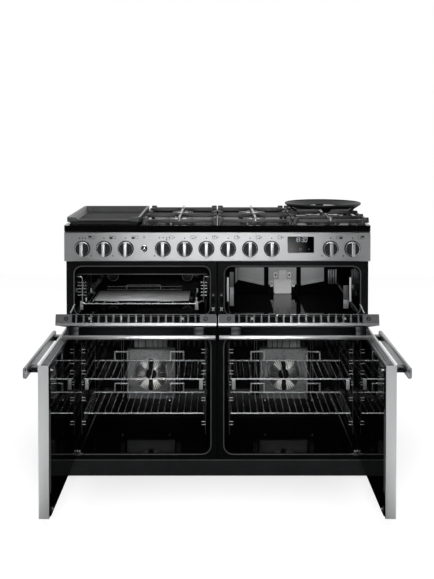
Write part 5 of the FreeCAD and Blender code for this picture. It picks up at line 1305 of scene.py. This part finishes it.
@dataclass(frozen=True)
class Doors:
    """The doors' handles, caps, screws, vent trims and catches."""

    bar_tall: float = 34.0
    bar_deep: float = 14.0
    bar_near: float = 6.0
    bar_far: float = 522.0
    bar_out: float = 46.0
    bar_drop: float = 24.0
    posts: Pair = (62.5, 483.0)
    post: Pair = (36.0, 16.0)
    slot_pitch: float = 25.0
    slot_wide: float = 20.0
    slots: int = 16
    half_slot: float = 12.0
    slot_near: float = 9.6
    slot_far: float = 36.0
    lining_slot: Pair = (12.0, 31.0)
    cap_thick: float = 0.9
    cap_front: float = 8.5
    clip_places: Pair = (-156.0, 154.0)
    screw_place: float = 234.0
    vent_far: float = 514.0
    vent_deep: Pair = (9.0, 31.6)
    rib_start: float = 26.0
    rib_pitch: float = 5.0
    rib_wide: float = 2.6
    stud_height: float = 532.0
    stop_height: float = 108.0
    hole_pitch: float = 15.0
    hole_length: float = 10.0
    hole_rows: tuple[Pair, ...] = ((12.0, 17.0), (22.0, 27.0))
    holes: int = 29

    def build(self) -> None:
        """Builds the trims of all four doors."""
        for side, word in SIDES:
            for upper in (True, False):
                door = Swing(side, word, upper)
                self.handle(door)
                if upper:
                    self.slotted_cap(door)
                else:
                    self.vent_cap(door)
                    self.catches(door)

    def handle(self, door: Swing) -> None:
        """One towel bar: a flat-sided bar with rounded edges on two flat brackets."""
        piece = Piece(door.body + "_towel_bar", door.body, "polished_steel")
        centre = door.top - self.bar_drop
        low, high = door.span(self.bar_near, self.bar_far)
        front = door.face - self.bar_out
        bar = block((low, front, centre - self.bar_tall / 2), (high, front + self.bar_deep, centre + self.bar_tall / 2),
                    corner=self.bar_deep / 2 - 1.4, axis=0)
        # The side-hung doors' bar takes the darker copy of the steel, painted shade.
        piece.add(soften(bar, 1.4, 3), BAR_STEEL if door.upper else SHADED_SIDE_BAR_STEEL)
        for place in self.posts:
            low, high = door.span(place - self.post[0] / 2, place + self.post[0] / 2)
            half = self.post[1] / 2
            post = block((low, front + self.bar_deep - 3, centre - half), (high, door.face - 0.05, centre + half))
            # The brackets' near-black steel is painted shade.
            piece.add(soften(post, 1.6, 3), SHADED_BRACKET_STEEL)
        piece.done(door.place, [door.body + "_handle"])

    def strips(self, door: Swing, near: float, far: float, holes: list[Pair], back: Pair) -> list[Shape]:
        """The solid parts of a pierced strip on a door's top edge.

        Args:
            door: The door that carries it.
            near: Where it starts, from the cooker's middle.
            far: Where it ends.
            holes: The stretches that are open.
            back: Its front and back edge, from the door's face.

        Returns:
            One block for each bar between two holes.
        """
        edges = [near] + [x for hole in holes for x in hole] + [far]
        return [door.slab((start, end), back, (door.top + SEAT, door.top + self.cap_thick))
                for start, end in zip(edges[::2], edges[1::2])]

    def slotted_cap(self, door: Swing) -> None:
        """An upper door's grey top cap, with a row of slots, a half slot at each end and two screws."""
        piece = Piece(door.body + "_top_cap", door.body)
        holes = []
        for number in range(self.slots):
            start = door.middle + (number - self.slots / 2 + 0.5) * self.slot_pitch - self.slot_wide / 2
            holes.append((start, start + self.slot_wide))
        bar = self.slot_pitch - self.slot_wide
        holes = [(holes[0][0] - bar - self.half_slot, holes[0][0] - bar)] + holes + [
            (holes[-1][1] + bar, holes[-1][1] + bar + self.half_slot)]
        near, far = door.gap + 0.6, door.outer - 0.6
        above = (door.top + SEAT, door.top + self.cap_thick)
        for strip in self.strips(door, near, far, holes, (self.slot_near, self.slot_far)):
            piece.add(strip, CAP_PAINT)
        for back in ((self.cap_front, self.slot_near), (self.slot_far, door.depth - 0.2)):
            piece.add(door.slab((near, far), back, above), CAP_PAINT)
        # Painted shade: a black plate below the slots and black strips at their front and back ends, so the slots read
        # dark and deep.
        shade_span = (holes[0][0] - 4, holes[-1][1] + 4)
        piece.add(door.slab(shade_span, (10.0, 32.0), (door.top - 17, door.top - 15.5)), BLACK_AND_PAINTED_SHADE)
        for back in ((self.slot_near - 0.6, self.lining_slot[0]), (self.lining_slot[1], 33.2)):
            piece.add(door.slab(shade_span, back, (door.top + SEAT, door.top + 0.3)), BLACK_AND_PAINTED_SHADE)
        for across in self.clip_places:
            spot = door.middle + across
            piece.add(door.slab((spot - 4, spot + 5), (20, 27), (door.top - 4, door.top - 2)), ZINC_DULL)
            piece.add(door.slab((spot - 6, spot - 3), (14, 30), (door.top - 6, door.top - 3)), SEAL_RUBBER)
        for across in (-self.screw_place, self.screw_place):
            spot = at(door.side * (door.middle + across), door.face + (self.slot_near + self.slot_far) / 2,
                      door.top + self.cap_thick)
            piece.add(lathe(((0, 0), (7.4, 0), (7.0, 1.0), (5.6, 1.6), (5.2, 0.6), (0, 0.6)), 28), MOULDED, spot)
            piece.add(drum(3.6, 1.5, 4, 0.2), CAP_PAINT, spot)
        piece.done(door.place)

    def vent_cap(self, door: Swing) -> None:
        """A lower door's top cap: two rows of holes, a ribbed bright strip and a bright inner trim."""
        piece = Piece(door.body + "_vent_cap", door.body)
        near, far = door.gap + 1.0, self.vent_far
        first = door.middle - (self.holes - 1) / 2 * self.hole_pitch - self.hole_length / 2
        starts = [first + number * self.hole_pitch for number in range(self.holes)]
        holes = [(start, start + self.hole_length) for start in starts if start + self.hole_length < far - 4]
        above = (door.top + SEAT, door.top + self.cap_thick)
        edges = [self.vent_deep[0]] + [y for row in self.hole_rows for y in row] + [self.vent_deep[1]]
        for row in self.hole_rows:
            for strip in self.strips(door, near, far, holes, row):
                piece.add(strip, CAP_PAINT)
            # Painted shade: a black strip below each row of holes, so the holes read dark.
            piece.add(door.slab((near + 8, far - 8), row, (door.top - 8, door.top - 7)), BLACK_AND_PAINTED_SHADE)
        for back in zip(edges[::2], edges[1::2]):
            piece.add(door.slab((near, far), back, above), CAP_PAINT)
        for number in range(int((far - near - self.rib_start) / self.rib_pitch)):
            start = near + self.rib_start + number * self.rib_pitch
            piece.add(door.slab((start, start + self.rib_wide), (3.0, 8.2), (door.top + SEAT, door.top + 1.2)),
                      LIT_PLATE)
        piece.add(door.slab((near + 2, far), (32.0, 33.4), (door.top - 4, door.top + 1.0), 0.3), PLATED)
        spot = at(door.side * (door.gap + 12), door.face + 19, door.top + self.cap_thick)
        piece.add(lathe(((0, 0), (4.6, 0), (4.2, 0.9), (2.4, 1.5), (0, 1.5)), 24), MOULDED, spot)
        piece.done(door.place)

    def catches(self, door: Swing) -> None:
        """The latch stud near the top of a lower door's inner edge, and the small stop at its foot."""
        piece = Piece(door.body + "_catches", door.body)
        inner = door.face + door.depth
        stud = lathe(((0, -1), (4.4, -1), (4.4, 1.2), (2.2, 1.8), (2.2, 4.0), (3.2, 4.6), (3.2, 6.6), (2.0, 7.2),
                      (0, 7.2)), 28)
        piece.add(stud, PLATED, at(door.side * (door.gap + 14), inner, self.stud_height) @ BACKWARDS)
        stop = door.slab((door.gap + 3, door.gap + 11), (door.depth - 0.5, door.depth + 4.5),
                         (self.stop_height - 8, self.stop_height + 8), 1.0)
        piece.add(stop, MOULDED)
        piece.add(drum(2.2, 7.0, 18, 0.4), PLATED, at(door.side * (door.gap + 7), inner, self.stop_height) @ BACKWARDS)
        piece.done(door.place)


@dataclass(frozen=True)
class Carcass:
    """The front frame's trims, the seals, and the furniture of the four cavities.

    A mouth is its near and far side, floor, roof and bend. A bracket is the X of its front edge, its plate's left and
    right side, foot, split and top, and the X of its wall. A lit patch, a pale sheet of painted light, is its left and
    right side and the height of its foot at each. A lug is its left and right side, bottom and top.
    """

    front: float = -4.0
    back_wall: float = 405.0
    seal_round: float = 2.1
    seal_out: float = 5.0
    strip_half: float = 3.0
    bead: tuple[float, float, float] = (545.5, 58.6, 61.8)
    mouths: tuple[tuple[float, float, float, float, float], ...] = (
        (30.0, 513.0, 595.0, 763.0, 22.0), (28.0, 509.0, 87.0, 506.0, 28.0))
    shade_strips_upper: tuple[Pair, ...] = ((190.0, 206.0), (321.0, 337.0))
    shade_strips_lower: tuple[Pair, ...] = ((141.0, 171.0), (369.0, 399.0))
    shade_strip_thick: float = 4.0
    baffle: tuple[float, float, float, float] = (203.0, 337.0, 374.0, 500.0)
    baffle_thick: float = 2.4
    lamps: tuple[Pair, ...] = ((-388.0, 420.0), (388.0, 420.0), (-421.5, 668.0), (-121.5, 668.0))
    brackets: tuple[tuple[float, float, float, float, float, float, float], ...] = (
        (38.5, 45.0, 60.0, 618.0, 686.0, 742.0, 30.2), (483.5, 460.0, 479.0, 608.0, 640.0, 693.0, 512.8))
    light_and_shade_sheets: tuple[tuple[float, float, float, float], ...] = (
        (72.0, 82.0, 636.0, 648.0), (84.0, 189.0, 651.0, 628.0), (207.5, 320.0, 632.0, 632.0),
        (338.5, 432.0, 628.0, 645.0))
    vent_body: tuple[float, float, float, float] = (228.0, 299.0, 595.6, 653.6)
    vent_neck: tuple[float, float, float, float] = (247.5, 280.0, 640.0, 690.8)
    hinge_arm: tuple[float, float, float] = (524.0, 613.5, -0.44)
    hinge_cross: tuple[float, float] = (612.0, 0.62)
    hinge_plate: tuple[float, float] = (8.0, 22.0)
    foot_hinge: float = 503.5
    vent_lugs: tuple[tuple[float, float, float, float], ...] = (
        (228.0, 244.0, 659.0, 682.0), (283.5, 299.0, 659.0, 682.0), (213.0, 226.4, 622.0, 646.0),
        (300.6, 314.0, 622.0, 646.0))
    fan_cover: float = 381.0
    fan_place: Pair = (268.0, 272.0)
    fan_ribs: int = 44
    fan_steep: float = 0.72
    fan_rib: Pair = (24.0, 63.0)

    def build(self) -> None:
        """Builds the trims and the furniture."""
        self.seals()
        self.centre_strip()
        self.plinth_bead()
        self.ribs()
        self.lamp_rims()
        self.hinge_plates()
        self.lower_hinge_covers()
        self.grill_baffle()
        self.top_oven_brackets()
        self.top_oven_lit_patches()
        self.vent()
        self.fan_grilles()

    def seals(self) -> None:
        """The rubber seal round each mouth, with its round section."""
        piece = Piece("round_door_seals", slot="seal_rubber")
        grow, y = self.seal_out, self.front - self.seal_round
        for inner, outer, floor, roof, bend in self.mouths:
            bottom, top = floor - grow, roof + grow
            for side, _ in SIDES:
                low, high = on_side(side, inner - grow, outer + grow)
                points = [(low, y, bottom), (high, y, bottom), (high, y, top), (low, y, top)]
                piece.add(wire(points, self.seal_round, bend + grow, closed=True), SEAL_RUBBER)
        piece.done(stands_for=["door_seals"])

    def centre_strip(self) -> None:
        """The dark joint between the left and right halves of the frame."""
        piece = Piece("frame_centre_joint")
        piece.add(plate(self.front, (-self.strip_half, self.strip_half), (64, 791), 0.5, 0.2), BLACK_AND_PAINTED_SHADE)
        piece.done()

    def plinth_bead(self) -> None:
        """The rolled top edge of the plinth, a pale line: its rubber grey is a painted highlight."""
        piece = Piece("plinth_rolled_edge", slot="gunmetal_enamel")
        half, bottom, top = self.bead
        bead = block((-half, self.front, bottom), (half, self.front + 4, top), 1.3, steps=4)
        piece.add(bead, SEAL_RUBBER, at(0, -0.6, 0))
        piece.done()

    def ribs(self) -> None:
        """Matte black strips on the back walls beside the vent and the fans, as painted shade where the baffles' shadow
        and dark reflection fall, and the baffle over each fan.
        """
        piece = Piece("back_wall_shade_strips")
        wall, thick = self.back_wall, self.shade_strip_thick
        for across in self.shade_strips_upper:
            piece.add(plate(wall, across, (597, 760), thick, 0.6), BLACK_AND_PAINTED_SHADE)
        near, far, bottom, top = self.baffle
        for side, _ in SIDES:
            for stretch in self.shade_strips_lower:
                low, high = on_side(side, *stretch)
                piece.add(plate(wall, (low, high), (180, 500), thick, 0.6), BLACK_AND_PAINTED_SHADE)
                for share in (0.3, 0.6):
                    x = low + (high - low) * share
                    piece.add(plate(wall, (x, x + 1.6), (190, 490), thick + 1.0, back=thick - 0.2), FAN_STEEL)
            low, high = on_side(side, near, far)
            piece.add(plate(wall, (low, high), (bottom, top), self.baffle_thick, 0.8), BAFFLE_SHEET)
            for number in range(5):
                bar = block((-1.5, -0.8, -66), (1.5, 0.0, 66))
                lean = Matrix.Rotation(side * (0.16 - 0.1 * abs(number - 2)), 4, "Y")
                piece.add(bar, BLACK_AND_PAINTED_SHADE, at(low + 18 + number * 25, wall - self.baffle_thick, 436) @ lean)
        piece.done()

    def lamp_rims(self) -> None:
        """A thin rim round each lamp's glass."""
        piece = Piece("lamp_rims")
        for x, z in self.lamps:
            rim = lathe(((20.3, 0), (22.6, 0), (22.6, 2.6), (21.8, 3.8), (20.3, 3.8)), 44, closed=True)
            piece.add(rim, FAN_STEEL, at(x, self.back_wall - SEAT, z) @ FRONTWARDS)
        piece.done()

    def hinge_plates(self) -> None:
        """The plates and crossed arms of the drop-down doors' hinges."""
        piece = Piece("hinge_receivers")
        out, height, lean = self.hinge_arm
        level, crossing = self.hinge_cross
        for side, _ in SIDES:
            arm = at(side * out, self.front - 2.4, height) @ Matrix.Rotation(side * lean, 4, "Y")
            piece.add(block((-2.2, -1.6, -17.5), (2.2, 1.6, 17.5), 0.8), LIT_PLATE, arm)
            piece.add(block((-5.0, -0.6, -16.0), (-2.6, 1.6, 12.0), 0.5), CARCASS_ENAMEL, arm)
            low, high = on_side(side, *self.hinge_plate)
            piece.add(plate(self.front, (low, high), (632, 668), 1.2, 0.5), CARCASS_ENAMEL)
            piece.add(plate(self.front, (low + 4, high - 4), (640, 660), 1.6, 0.2, 1.1), BLACK_AND_PAINTED_SHADE)
            cross = at((low + high) / 2, self.front - 2.4, level)
            for turn in (-crossing, crossing):
                bar = block((-7.5, -1.0, -1.5), (7.5, 1.0, 1.5), 0.5)
                piece.add(bar, LIT_PLATE, cross @ Matrix.Rotation(turn + math.pi / 2, 4, "Y"))
        piece.done()

    def lower_hinge_covers(self) -> None:
        """Screws and a cover plate on each lower hinge, at the outer foot of the oven's mouth."""
        piece = Piece("lower_hinge_covers")
        for side, _ in SIDES:
            middle = side * self.foot_hinge
            piece.add(plate(self.front, (middle - 13, middle + 13), (78, 84), 1.4, 0.4), SEAL_RUBBER)
            for across in (-4.5, 4.5):
                head = lathe(((0, 0), (2.6, 0), (2.2, 1.4), (0, 1.8)), 16)
                piece.add(head, LIT_PLATE, at(middle + across, self.front - 5.4, 96) @ FRONTWARDS)
        piece.done()

    def grill_baffle(self) -> None:
        """The baffle that hangs across the top oven's mouth on the grill side, with its folded lower lip."""
        piece = Piece("grill_baffle")
        piece.add(block((-510, 20, 735), (-33, 22.4, 761), 0.8), BLACK_AND_PAINTED_SHADE)
        piece.add(block((-508, 18.4, 733.4), (-35, 22.4, 736.4), 1.2, steps=3), FAN_STEEL)
        piece.done()

    def top_oven_brackets(self) -> None:
        """The folded side brackets in the top oven, and the zinc ribs on its back wall.

        Each bracket has a bright front edge, a two-tone plate behind it, a web between them and a flange at the wall.
        """
        piece = Piece("top_oven_brackets")
        for x, low, high, foot, split, top, wall in self.brackets:
            piece.add(block((x - 3.3, 12, 636), (x + 3.3, 14.4, 724), 0.6), LIT_PLATE)
            piece.add(block((low, 24, foot), (high, 26, split), 0.5), ZINC_DULL)
            piece.add(block((low, 25, split), (high, 27, top), 0.5), SEAL_RUBBER)
            left, right = sorted((x, low if x < low else high))
            piece.add(block((left, 14.2, 650), (right, 25.5, 652), 0.4), CARCASS_ENAMEL)
            left, right = sorted((x, wall))
            piece.add(block((left, 13, 655), (right, 14.2, 700), 0.3), CARCASS_ENAMEL)
        for number in range(4):
            rib = 448 + number * 9.5
            piece.add(plate(self.back_wall, (rib, rib + 6.5), (634, 694), 6.0, 0.6, 4.0), ZINC)
        piece.done()

    def top_oven_lit_patches(self) -> None:
        """Pale sheets on the top oven's back wall, cut on a slant, each with a folded foot: painted light for the
        wall's lit patches, with the slant where the shade begins.
        """
        piece = Piece("top_oven_lit_patches")
        for low, high, foot_low, foot_high in self.light_and_shade_sheets:
            sheet = plate(self.back_wall, (low, high), (640, 736), 2.4, back=0.6)
            lip = plate(self.back_wall, (low, high), (640, 652), 5.6, back=3.0)
            for vert in sheet.verts[:] + lip.verts[:]:
                slant = foot_low if vert.co.x < (low + high) / 2 else foot_high
                if vert.co.z < 645:
                    vert.co.z = slant + (9.0 if vert in sheet.verts else 0.0)
                elif vert.co.z < 655:
                    vert.co.z = slant + 12.0
            piece.add(soften(sheet, 0.4), LIT_PATCH_SHEET)
            piece.add(soften(lip, 0.9), LIT_PATCH_SHEET)
        piece.done()

    def vent(self) -> None:
        """The top oven's vent cover: a bevelled body and neck with four eared lugs and their screws."""
        piece = Piece("top_oven_vent", slot="galvanised")
        wall = self.back_wall
        for (low, high, bottom, top), deep, corner, soft in (
                (self.vent_body, 14.0, 6.0, 3.0), (self.vent_neck, 13.0, 5.0, 2.6)):
            cover = block((low, wall - deep, bottom), (high, wall - 0.1, top), corner=corner, axis=1)
            piece.add(soften(cover, soft, 4), LIT_VENT_SHEET)
        for low, high, bottom, top in self.vent_lugs:
            ear = block((low, wall - 5, bottom), (high, wall - 0.1, top), corner=4, axis=1)
            piece.add(soften(ear, 0.8), LIT_VENT_SHEET)
            piece.add(disc(3.4, 0.5, 20), BLACK_AND_PAINTED_SHADE, at((low + high) / 2, wall - 5.0, (bottom + top) / 2) @ FRONTWARDS)
        piece.done(stands_for=["cavity_vent"])

    def fan_grilles(self) -> None:
        """Each fan's grille: radial steel ribs in a rim, with a plain strip up the middle and corner screws; a black
        disc behind it and black strips on the near-level ribs are painted shade.
        """
        piece = Piece("fan_grilles")
        across, height = self.fan_place
        near, far = self.fan_rib
        for side, _ in SIDES:
            middle = side * across
            centre = at(middle, self.fan_cover - SEAT, height) @ FRONTWARDS
            rim = lathe(((63.5, 0), (67.5, 0), (67.0, 2.6), (65.2, 3.4), (63.5, 2.4)), 72, closed=True)
            piece.add(rim, FAN_STEEL, centre)
            piece.add(hoop(22.0, 25.0, 4.4, 48), FAN_STEEL, centre)
            # Painted shade: a black disc behind the ribs, so the gaps between them read dark.
            piece.add(disc(62.0, 0.5, 64), BLACK_AND_PAINTED_SHADE, centre)
            for number in range(self.fan_ribs):
                angle = math.tau * number / self.fan_ribs
                spoke = centre @ Matrix.Rotation(angle, 4, "Z")
                steep = abs(math.sin(angle)) > self.fan_steep
                half = 1.5 if steep else 0.7
                piece.add(block((near, -half, 0.4), (far, half, 7.0)), RIB_STEEL, spoke)
                # Painted shade: a black strip on the face of each near-level rib.
                if not steep:
                    piece.add(block((near, -0.75, 7.0), (far, 0.75, 7.6)), BLACK_AND_PAINTED_SHADE, spoke)
            piece.add(block((-9, -64, 7.1), (9, 64, 8.6), 0.5), CAVITY_ENAMEL, centre)
            screw = lathe(((0, 0), (3.4, 0), (3.0, 1.2), (1.6, 1.8), (0, 1.9)), 20)
            piece.add(screw, FAN_STEEL, *(at(middle + x, self.fan_cover, height + z) @ FRONTWARDS
                                          for x in (-86, 86) for z in (-90, 90)))
            screw = lathe(((0, 0), (3.0, 0), (2.6, 1.4), (0, 2.0)), 16)
            piece.add(screw, LIT_PLATE, *(at(middle + x + side * 22, self.back_wall, 158) @ FRONTWARDS
                                           for x in (-96.0, 96.0)))
        piece.done()



@dataclass(frozen=True)
class Racks:
    """The side racks, the shelves' runner tabs, the grill pan, and the black sheets of painted shade and the posts on
    the base.

    A hoop on the pan's front rail is its left and right side, the run of its slopes, its top, and its wire's radius,
    bend and finish.
    """

    near: float = 43.5
    far: float = 493.5
    oven_front: float = 9.0
    oven_back: float = 386.0
    pairs: tuple[Pair, ...] = (
        (462.0, 450.0), (422.0, 411.0), (384.0, 372.5), (342.5, 333.0), (285.5, 275.5), (198.0, 187.0))
    tick: float = 14.0
    short_tick: float = 6.0
    short_pair: Pair = (333.0, 342.5)
    grill_rungs: tuple[float, ...] = (706.5, 695.0, 683.5, 671.5, 660.0)
    tab_places: tuple[Pair, ...] = ((53.0, 66.0), (470.0, 483.0))
    base: float = 595.2
    base_shade_sheets: tuple[Pair, ...] = ((31.0, 206.0), (320.0, 512.0))
    runners: tuple[Pair, ...] = ((-499.0, -488.0), (-81.5, -69.5))
    rail: Pair = (12.0, 628.5)
    tray_low: Point = (-454.0, 37.0, 626.4)
    tray_high: Point = (-89.0, 245.5, 634.0)
    tray_rim: float = 3.0
    tray_deep: float = 5.0
    plate_low: Point = (-457.0, 38.0, 631.2)
    plate_high: Point = (-105.0, 243.0, 633.4)
    hoops: tuple[tuple[float, float, float, float, float, float, Finish], ...] = (
        (-413.0, -358.0, 5.0, 638.5, 1.7, 3.0, WIRE_CHROME), (-218.0, -158.0, 5.0, 638.5, 1.7, 3.0, WIRE_CHROME),
        (-328.0, -309.0, 3.0, 633.0, 1.4, 2.0, WIRE_DULL), (-262.0, -243.0, 3.0, 633.0, 1.4, 2.0, WIRE_DULL))
    pan_back: float = 246.0
    pan_sides: Pair = (-428.0, -138.0)
    handle: tuple[float, float, float, float] = (-352.0, -220.0, 640.0, 656.5)

    def build(self) -> None:
        """Builds the racks, the tabs, the pan, and what lies and stands on the chambers' floor."""
        self.oven_racks()
        self.grill_racks()
        self.tabs()
        self.pan()
        self.light_and_shade_sheets()
        self.posts()

    def oven_racks(self) -> None:
        """Chromed wire racks in both ovens: uprights by the wall, and guide wires with bent ends in pairs."""
        piece = Piece("oven_side_racks", slot="polished_steel")
        for side, _ in SIDES:
            for spot, way in ((self.near, 1), (self.far, -1)):
                x = side * spot
                for y in (self.oven_front, self.oven_back):
                    piece.add(wire([(x, y, 150), (x, y, 488)], 1.5), WIRE_DULL)
                for pair in self.pairs:
                    for z in pair:
                        reach = self.short_tick if z in self.short_pair else self.tick
                        tip = x + side * way * reach
                        piece.add(wire([(tip, self.oven_front - 1, z), (x, self.oven_front - 1, z),
                                        (x, self.oven_back, z)], 1.3, 2.5), WIRE_CHROME)
                        # Painted highlight: a short pale wire just before each tick, so its tip shows bright.
                        piece.add(wire([(tip, self.oven_front - 2.2, z), (x, self.oven_front - 2.2, z)], 1.2),
                                  LIT_PLATE)
        piece.done(stands_for=["side_racks"])

    def grill_racks(self) -> None:
        """The short racks at both sides of the grill: a hoop wire and five close rungs."""
        piece = Piece("grill_side_racks", slot="polished_steel")
        for x, wall, way in ((-490.0, -512.0, 1), (-50.0, -31.0, -1)):
            piece.add(wire([(wall + way * 2, 8, 728), (x, 8, 728), (x, 8, 634)], 1.5, 8), WIRE_CHROME)
            piece.add(wire([(x, 250, 640), (x, 250, 726)], 1.5), WIRE_DULL)
            for z in self.grill_rungs:
                tip = x + way * (15 if way > 0 else 9.5)
                start = wall + way * (4 if way > 0 else 7.5)
                piece.add(wire([(start, 9, z), (tip, 9, z)], 1.5), WIRE_CHROME)
                piece.add(wire([(x, 9, z), (x, 250, z)], 1.2), WIRE_DULL)
        piece.done()

    def tabs(self) -> None:
        """The folded runner tabs under the front corners of both top shelves."""
        for side, word in SIDES:
            piece = Piece(f"{word}_upper_shelf_tabs", f"{word}_upper_shelf")
            for stretch in self.tab_places:
                low, high = on_side(side, *stretch)
                piece.add(block((low, 14.5, 313), (high, 16.5, 349), 0.6), TAB_STEEL)
            piece.done()

    def pan(self) -> None:
        """The grill pan: a dark tray with a streaked plate, a front wire rail, rear rails and a wire handle."""
        piece = Piece("grill_pan_set", "grill_pan", "polished_steel")
        tray = block(self.tray_low, self.tray_high)
        top = [face for face in tray.faces if face.normal.z > 0.9]
        bmesh.ops.inset_region(tray, faces=top, thickness=self.tray_rim, use_even_offset=True)
        inner = [face for face in tray.faces if face.normal.z > 0.9 and face.calc_area() > 50000]
        sunk = bmesh.ops.extrude_discrete_faces(tray, faces=inner)["faces"]
        bmesh.ops.translate(tray, vec=(0, 0, -self.tray_deep), verts=[v for f in sunk for v in f.verts])
        piece.add(soften(tray, 0.9), CAVITY_ENAMEL)
        piece.add(block(self.plate_low, self.plate_high, 0.6), PAN_PLATE)
        y, z = self.rail
        piece.add(wire([(-490, y, 634), (-484, y, z), (-74, y, z), (-54, y, 640)], 2.0, 5), WIRE_CHROME)
        for low, high, run, top, thick, bend, finish in self.hoops:
            path = [(low, y, z + 1), (low + run, y, top), (high - run, y, top), (high, y, z + 1)]
            piece.add(wire(path, thick, bend), finish)
        piece.add(wire([(-470, y, z + 1), (-470, 240, z + 2)], 1.8), WIRE_CHROME)
        piece.add(wire([(-82, y, z + 1), (-82, 240, z + 2)], 1.8), WIRE_DULL)
        for x in (-440, -103):
            piece.add(wire([(x, y, z), (x, 40, z)], 1.6), WIRE_DULL)
        left, right = self.pan_sides
        for level in (639.5, 650.5):
            piece.add(wire([(left, self.pan_back, level), (right, self.pan_back, level)], 1.9), WIRE_CHROME)
        piece.add(plate(self.pan_back, self.pan_sides, (634, 650), 1.5, 0.4, 0.0), BLACK_AND_PAINTED_SHADE)
        left, right, low, high = self.handle
        corners = ((left, low), (left, high), (right, high), (right, low))
        piece.add(wire([(x, self.pan_back - 1, level) for x, level in corners], 1.9, 5), WIRE_CHROME)
        for low, high in self.runners:
            piece.add(block((low, 10.4, 626.2), (high, 13.6, 638), 0.8), TAB_STEEL)
        for y, z in ((200, 644), (62, 634)):
            for x, rail_x in ((-484, -470), (-77, -82)):
                piece.add(block((x - 2.4, y, z - 8), (x + 2.4, y + 2, z + 7), 0.5), LIT_PLATE)
                low, high = sorted((x, rail_x))
                piece.add(block((low, y, 629), (high, y + 2, z - 6), 0.3), WIRE_DULL)
        piece.done(stands_for=["grill_pan"])

    def light_and_shade_sheets(self) -> None:
        """Black sheets on the top oven's base, beside the vent: painted shade that keeps the floor dark."""
        piece = Piece("top_oven_base_shade_sheets")
        for low, high in self.base_shade_sheets:
            piece.add(block((low, 14, self.base), (high, 400, self.base + 0.8)), BLACK_AND_PAINTED_SHADE)
        piece.done()

    def posts(self) -> None:
        """The posts under the grill pan's tabs: a bright head on a dark stem."""
        piece = Piece("grill_runner_posts")
        for low, high in self.runners:
            piece.add(block((low, 10.4, 606), (high, 13.6, 625.4), 0.8), TAB_STEEL)
            piece.add(block((low + 3, 10.9, self.base), (high - 3, 13.1, 606.4)), BLACK_AND_PAINTED_SHADE)
        piece.done()


@dataclass(frozen=True)
class Dressing:
    """The finish of every CAD node that shows as it is."""

    plain: tuple[tuple[str, Finish], ...] = (
        ("side_panels", CARCASS_ENAMEL), ("plinth", LIT_PLINTH_ENAMEL), ("front_frame", CARCASS_ENAMEL),
        ("back_panel", ZINC), ("base_tray", ZINC), ("levelling_feet", ZINC), ("fan_motors", ZINC),
        ("upper_cavities", CAVITY_ENAMEL), ("lower_cavities", CAVITY_ENAMEL), ("fan_covers", COVER_ENAMEL),
        ("oven_lamps", LAMP_GLASS), ("control_panel", FASCIA_STEEL), ("display_glass", BLACK_GLASS),
        ("oven_switches", MOULDED), ("gas_rail", BRASS), ("burner_bodies", BURNER_ALLOY),
        ("heating_elements", CARCASS_ENAMEL), ("hinge_brackets", CARCASS_ENAMEL), ("left_oven_fan", FAN_STEEL),
        ("right_oven_fan", FAN_STEEL), ("left_lower_shelf", WIRE_CHROME), ("left_upper_shelf", WIRE_CHROME),
        ("right_lower_shelf", WIRE_CHROME), ("right_upper_shelf", WIRE_CHROME))

    def build(self) -> None:
        """Gives each CAD node its finish."""
        chosen = dict(self.plain)
        for _, word in SIDES:
            for level in ("upper", "lower"):
                name = f"{level}_{word}_door"
                # The lower doors' skins take the lighter copy of the steel, painted light.
                chosen[name + "_skin"] = DROP_DOOR_STEEL if level == "upper" else LIT_SIDE_DOOR_STEEL
                chosen[name + "_lining"] = BLACK_GLASS
                if level == "lower":
                    chosen[name + "_window"] = BLACK_GLASS
        for name, finish in chosen.items():
            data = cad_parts[name].data
            data.materials.clear()
            data.materials.append(finish.material())
        shown = [name for name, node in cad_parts.items() if not node.hide_render]
        LOG.info("CAD nodes without a finish: %s", sorted(set(shown) - set(chosen)) or "none")


def main() -> None:
    """Builds the cooker's pieces in order."""
    logging.basicConfig(level=logging.INFO, format="%(message)s")
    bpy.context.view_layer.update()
    bpy.context.scene.view_settings.view_transform = "Standard"
    for part in (Studio(), Hob(), Fascia(), Doors(), Carcass(), Racks(), Dressing()):
        part.build()
        LOG.info("built %s", type(part).__name__)


if __name__ == "__main__":
    main()
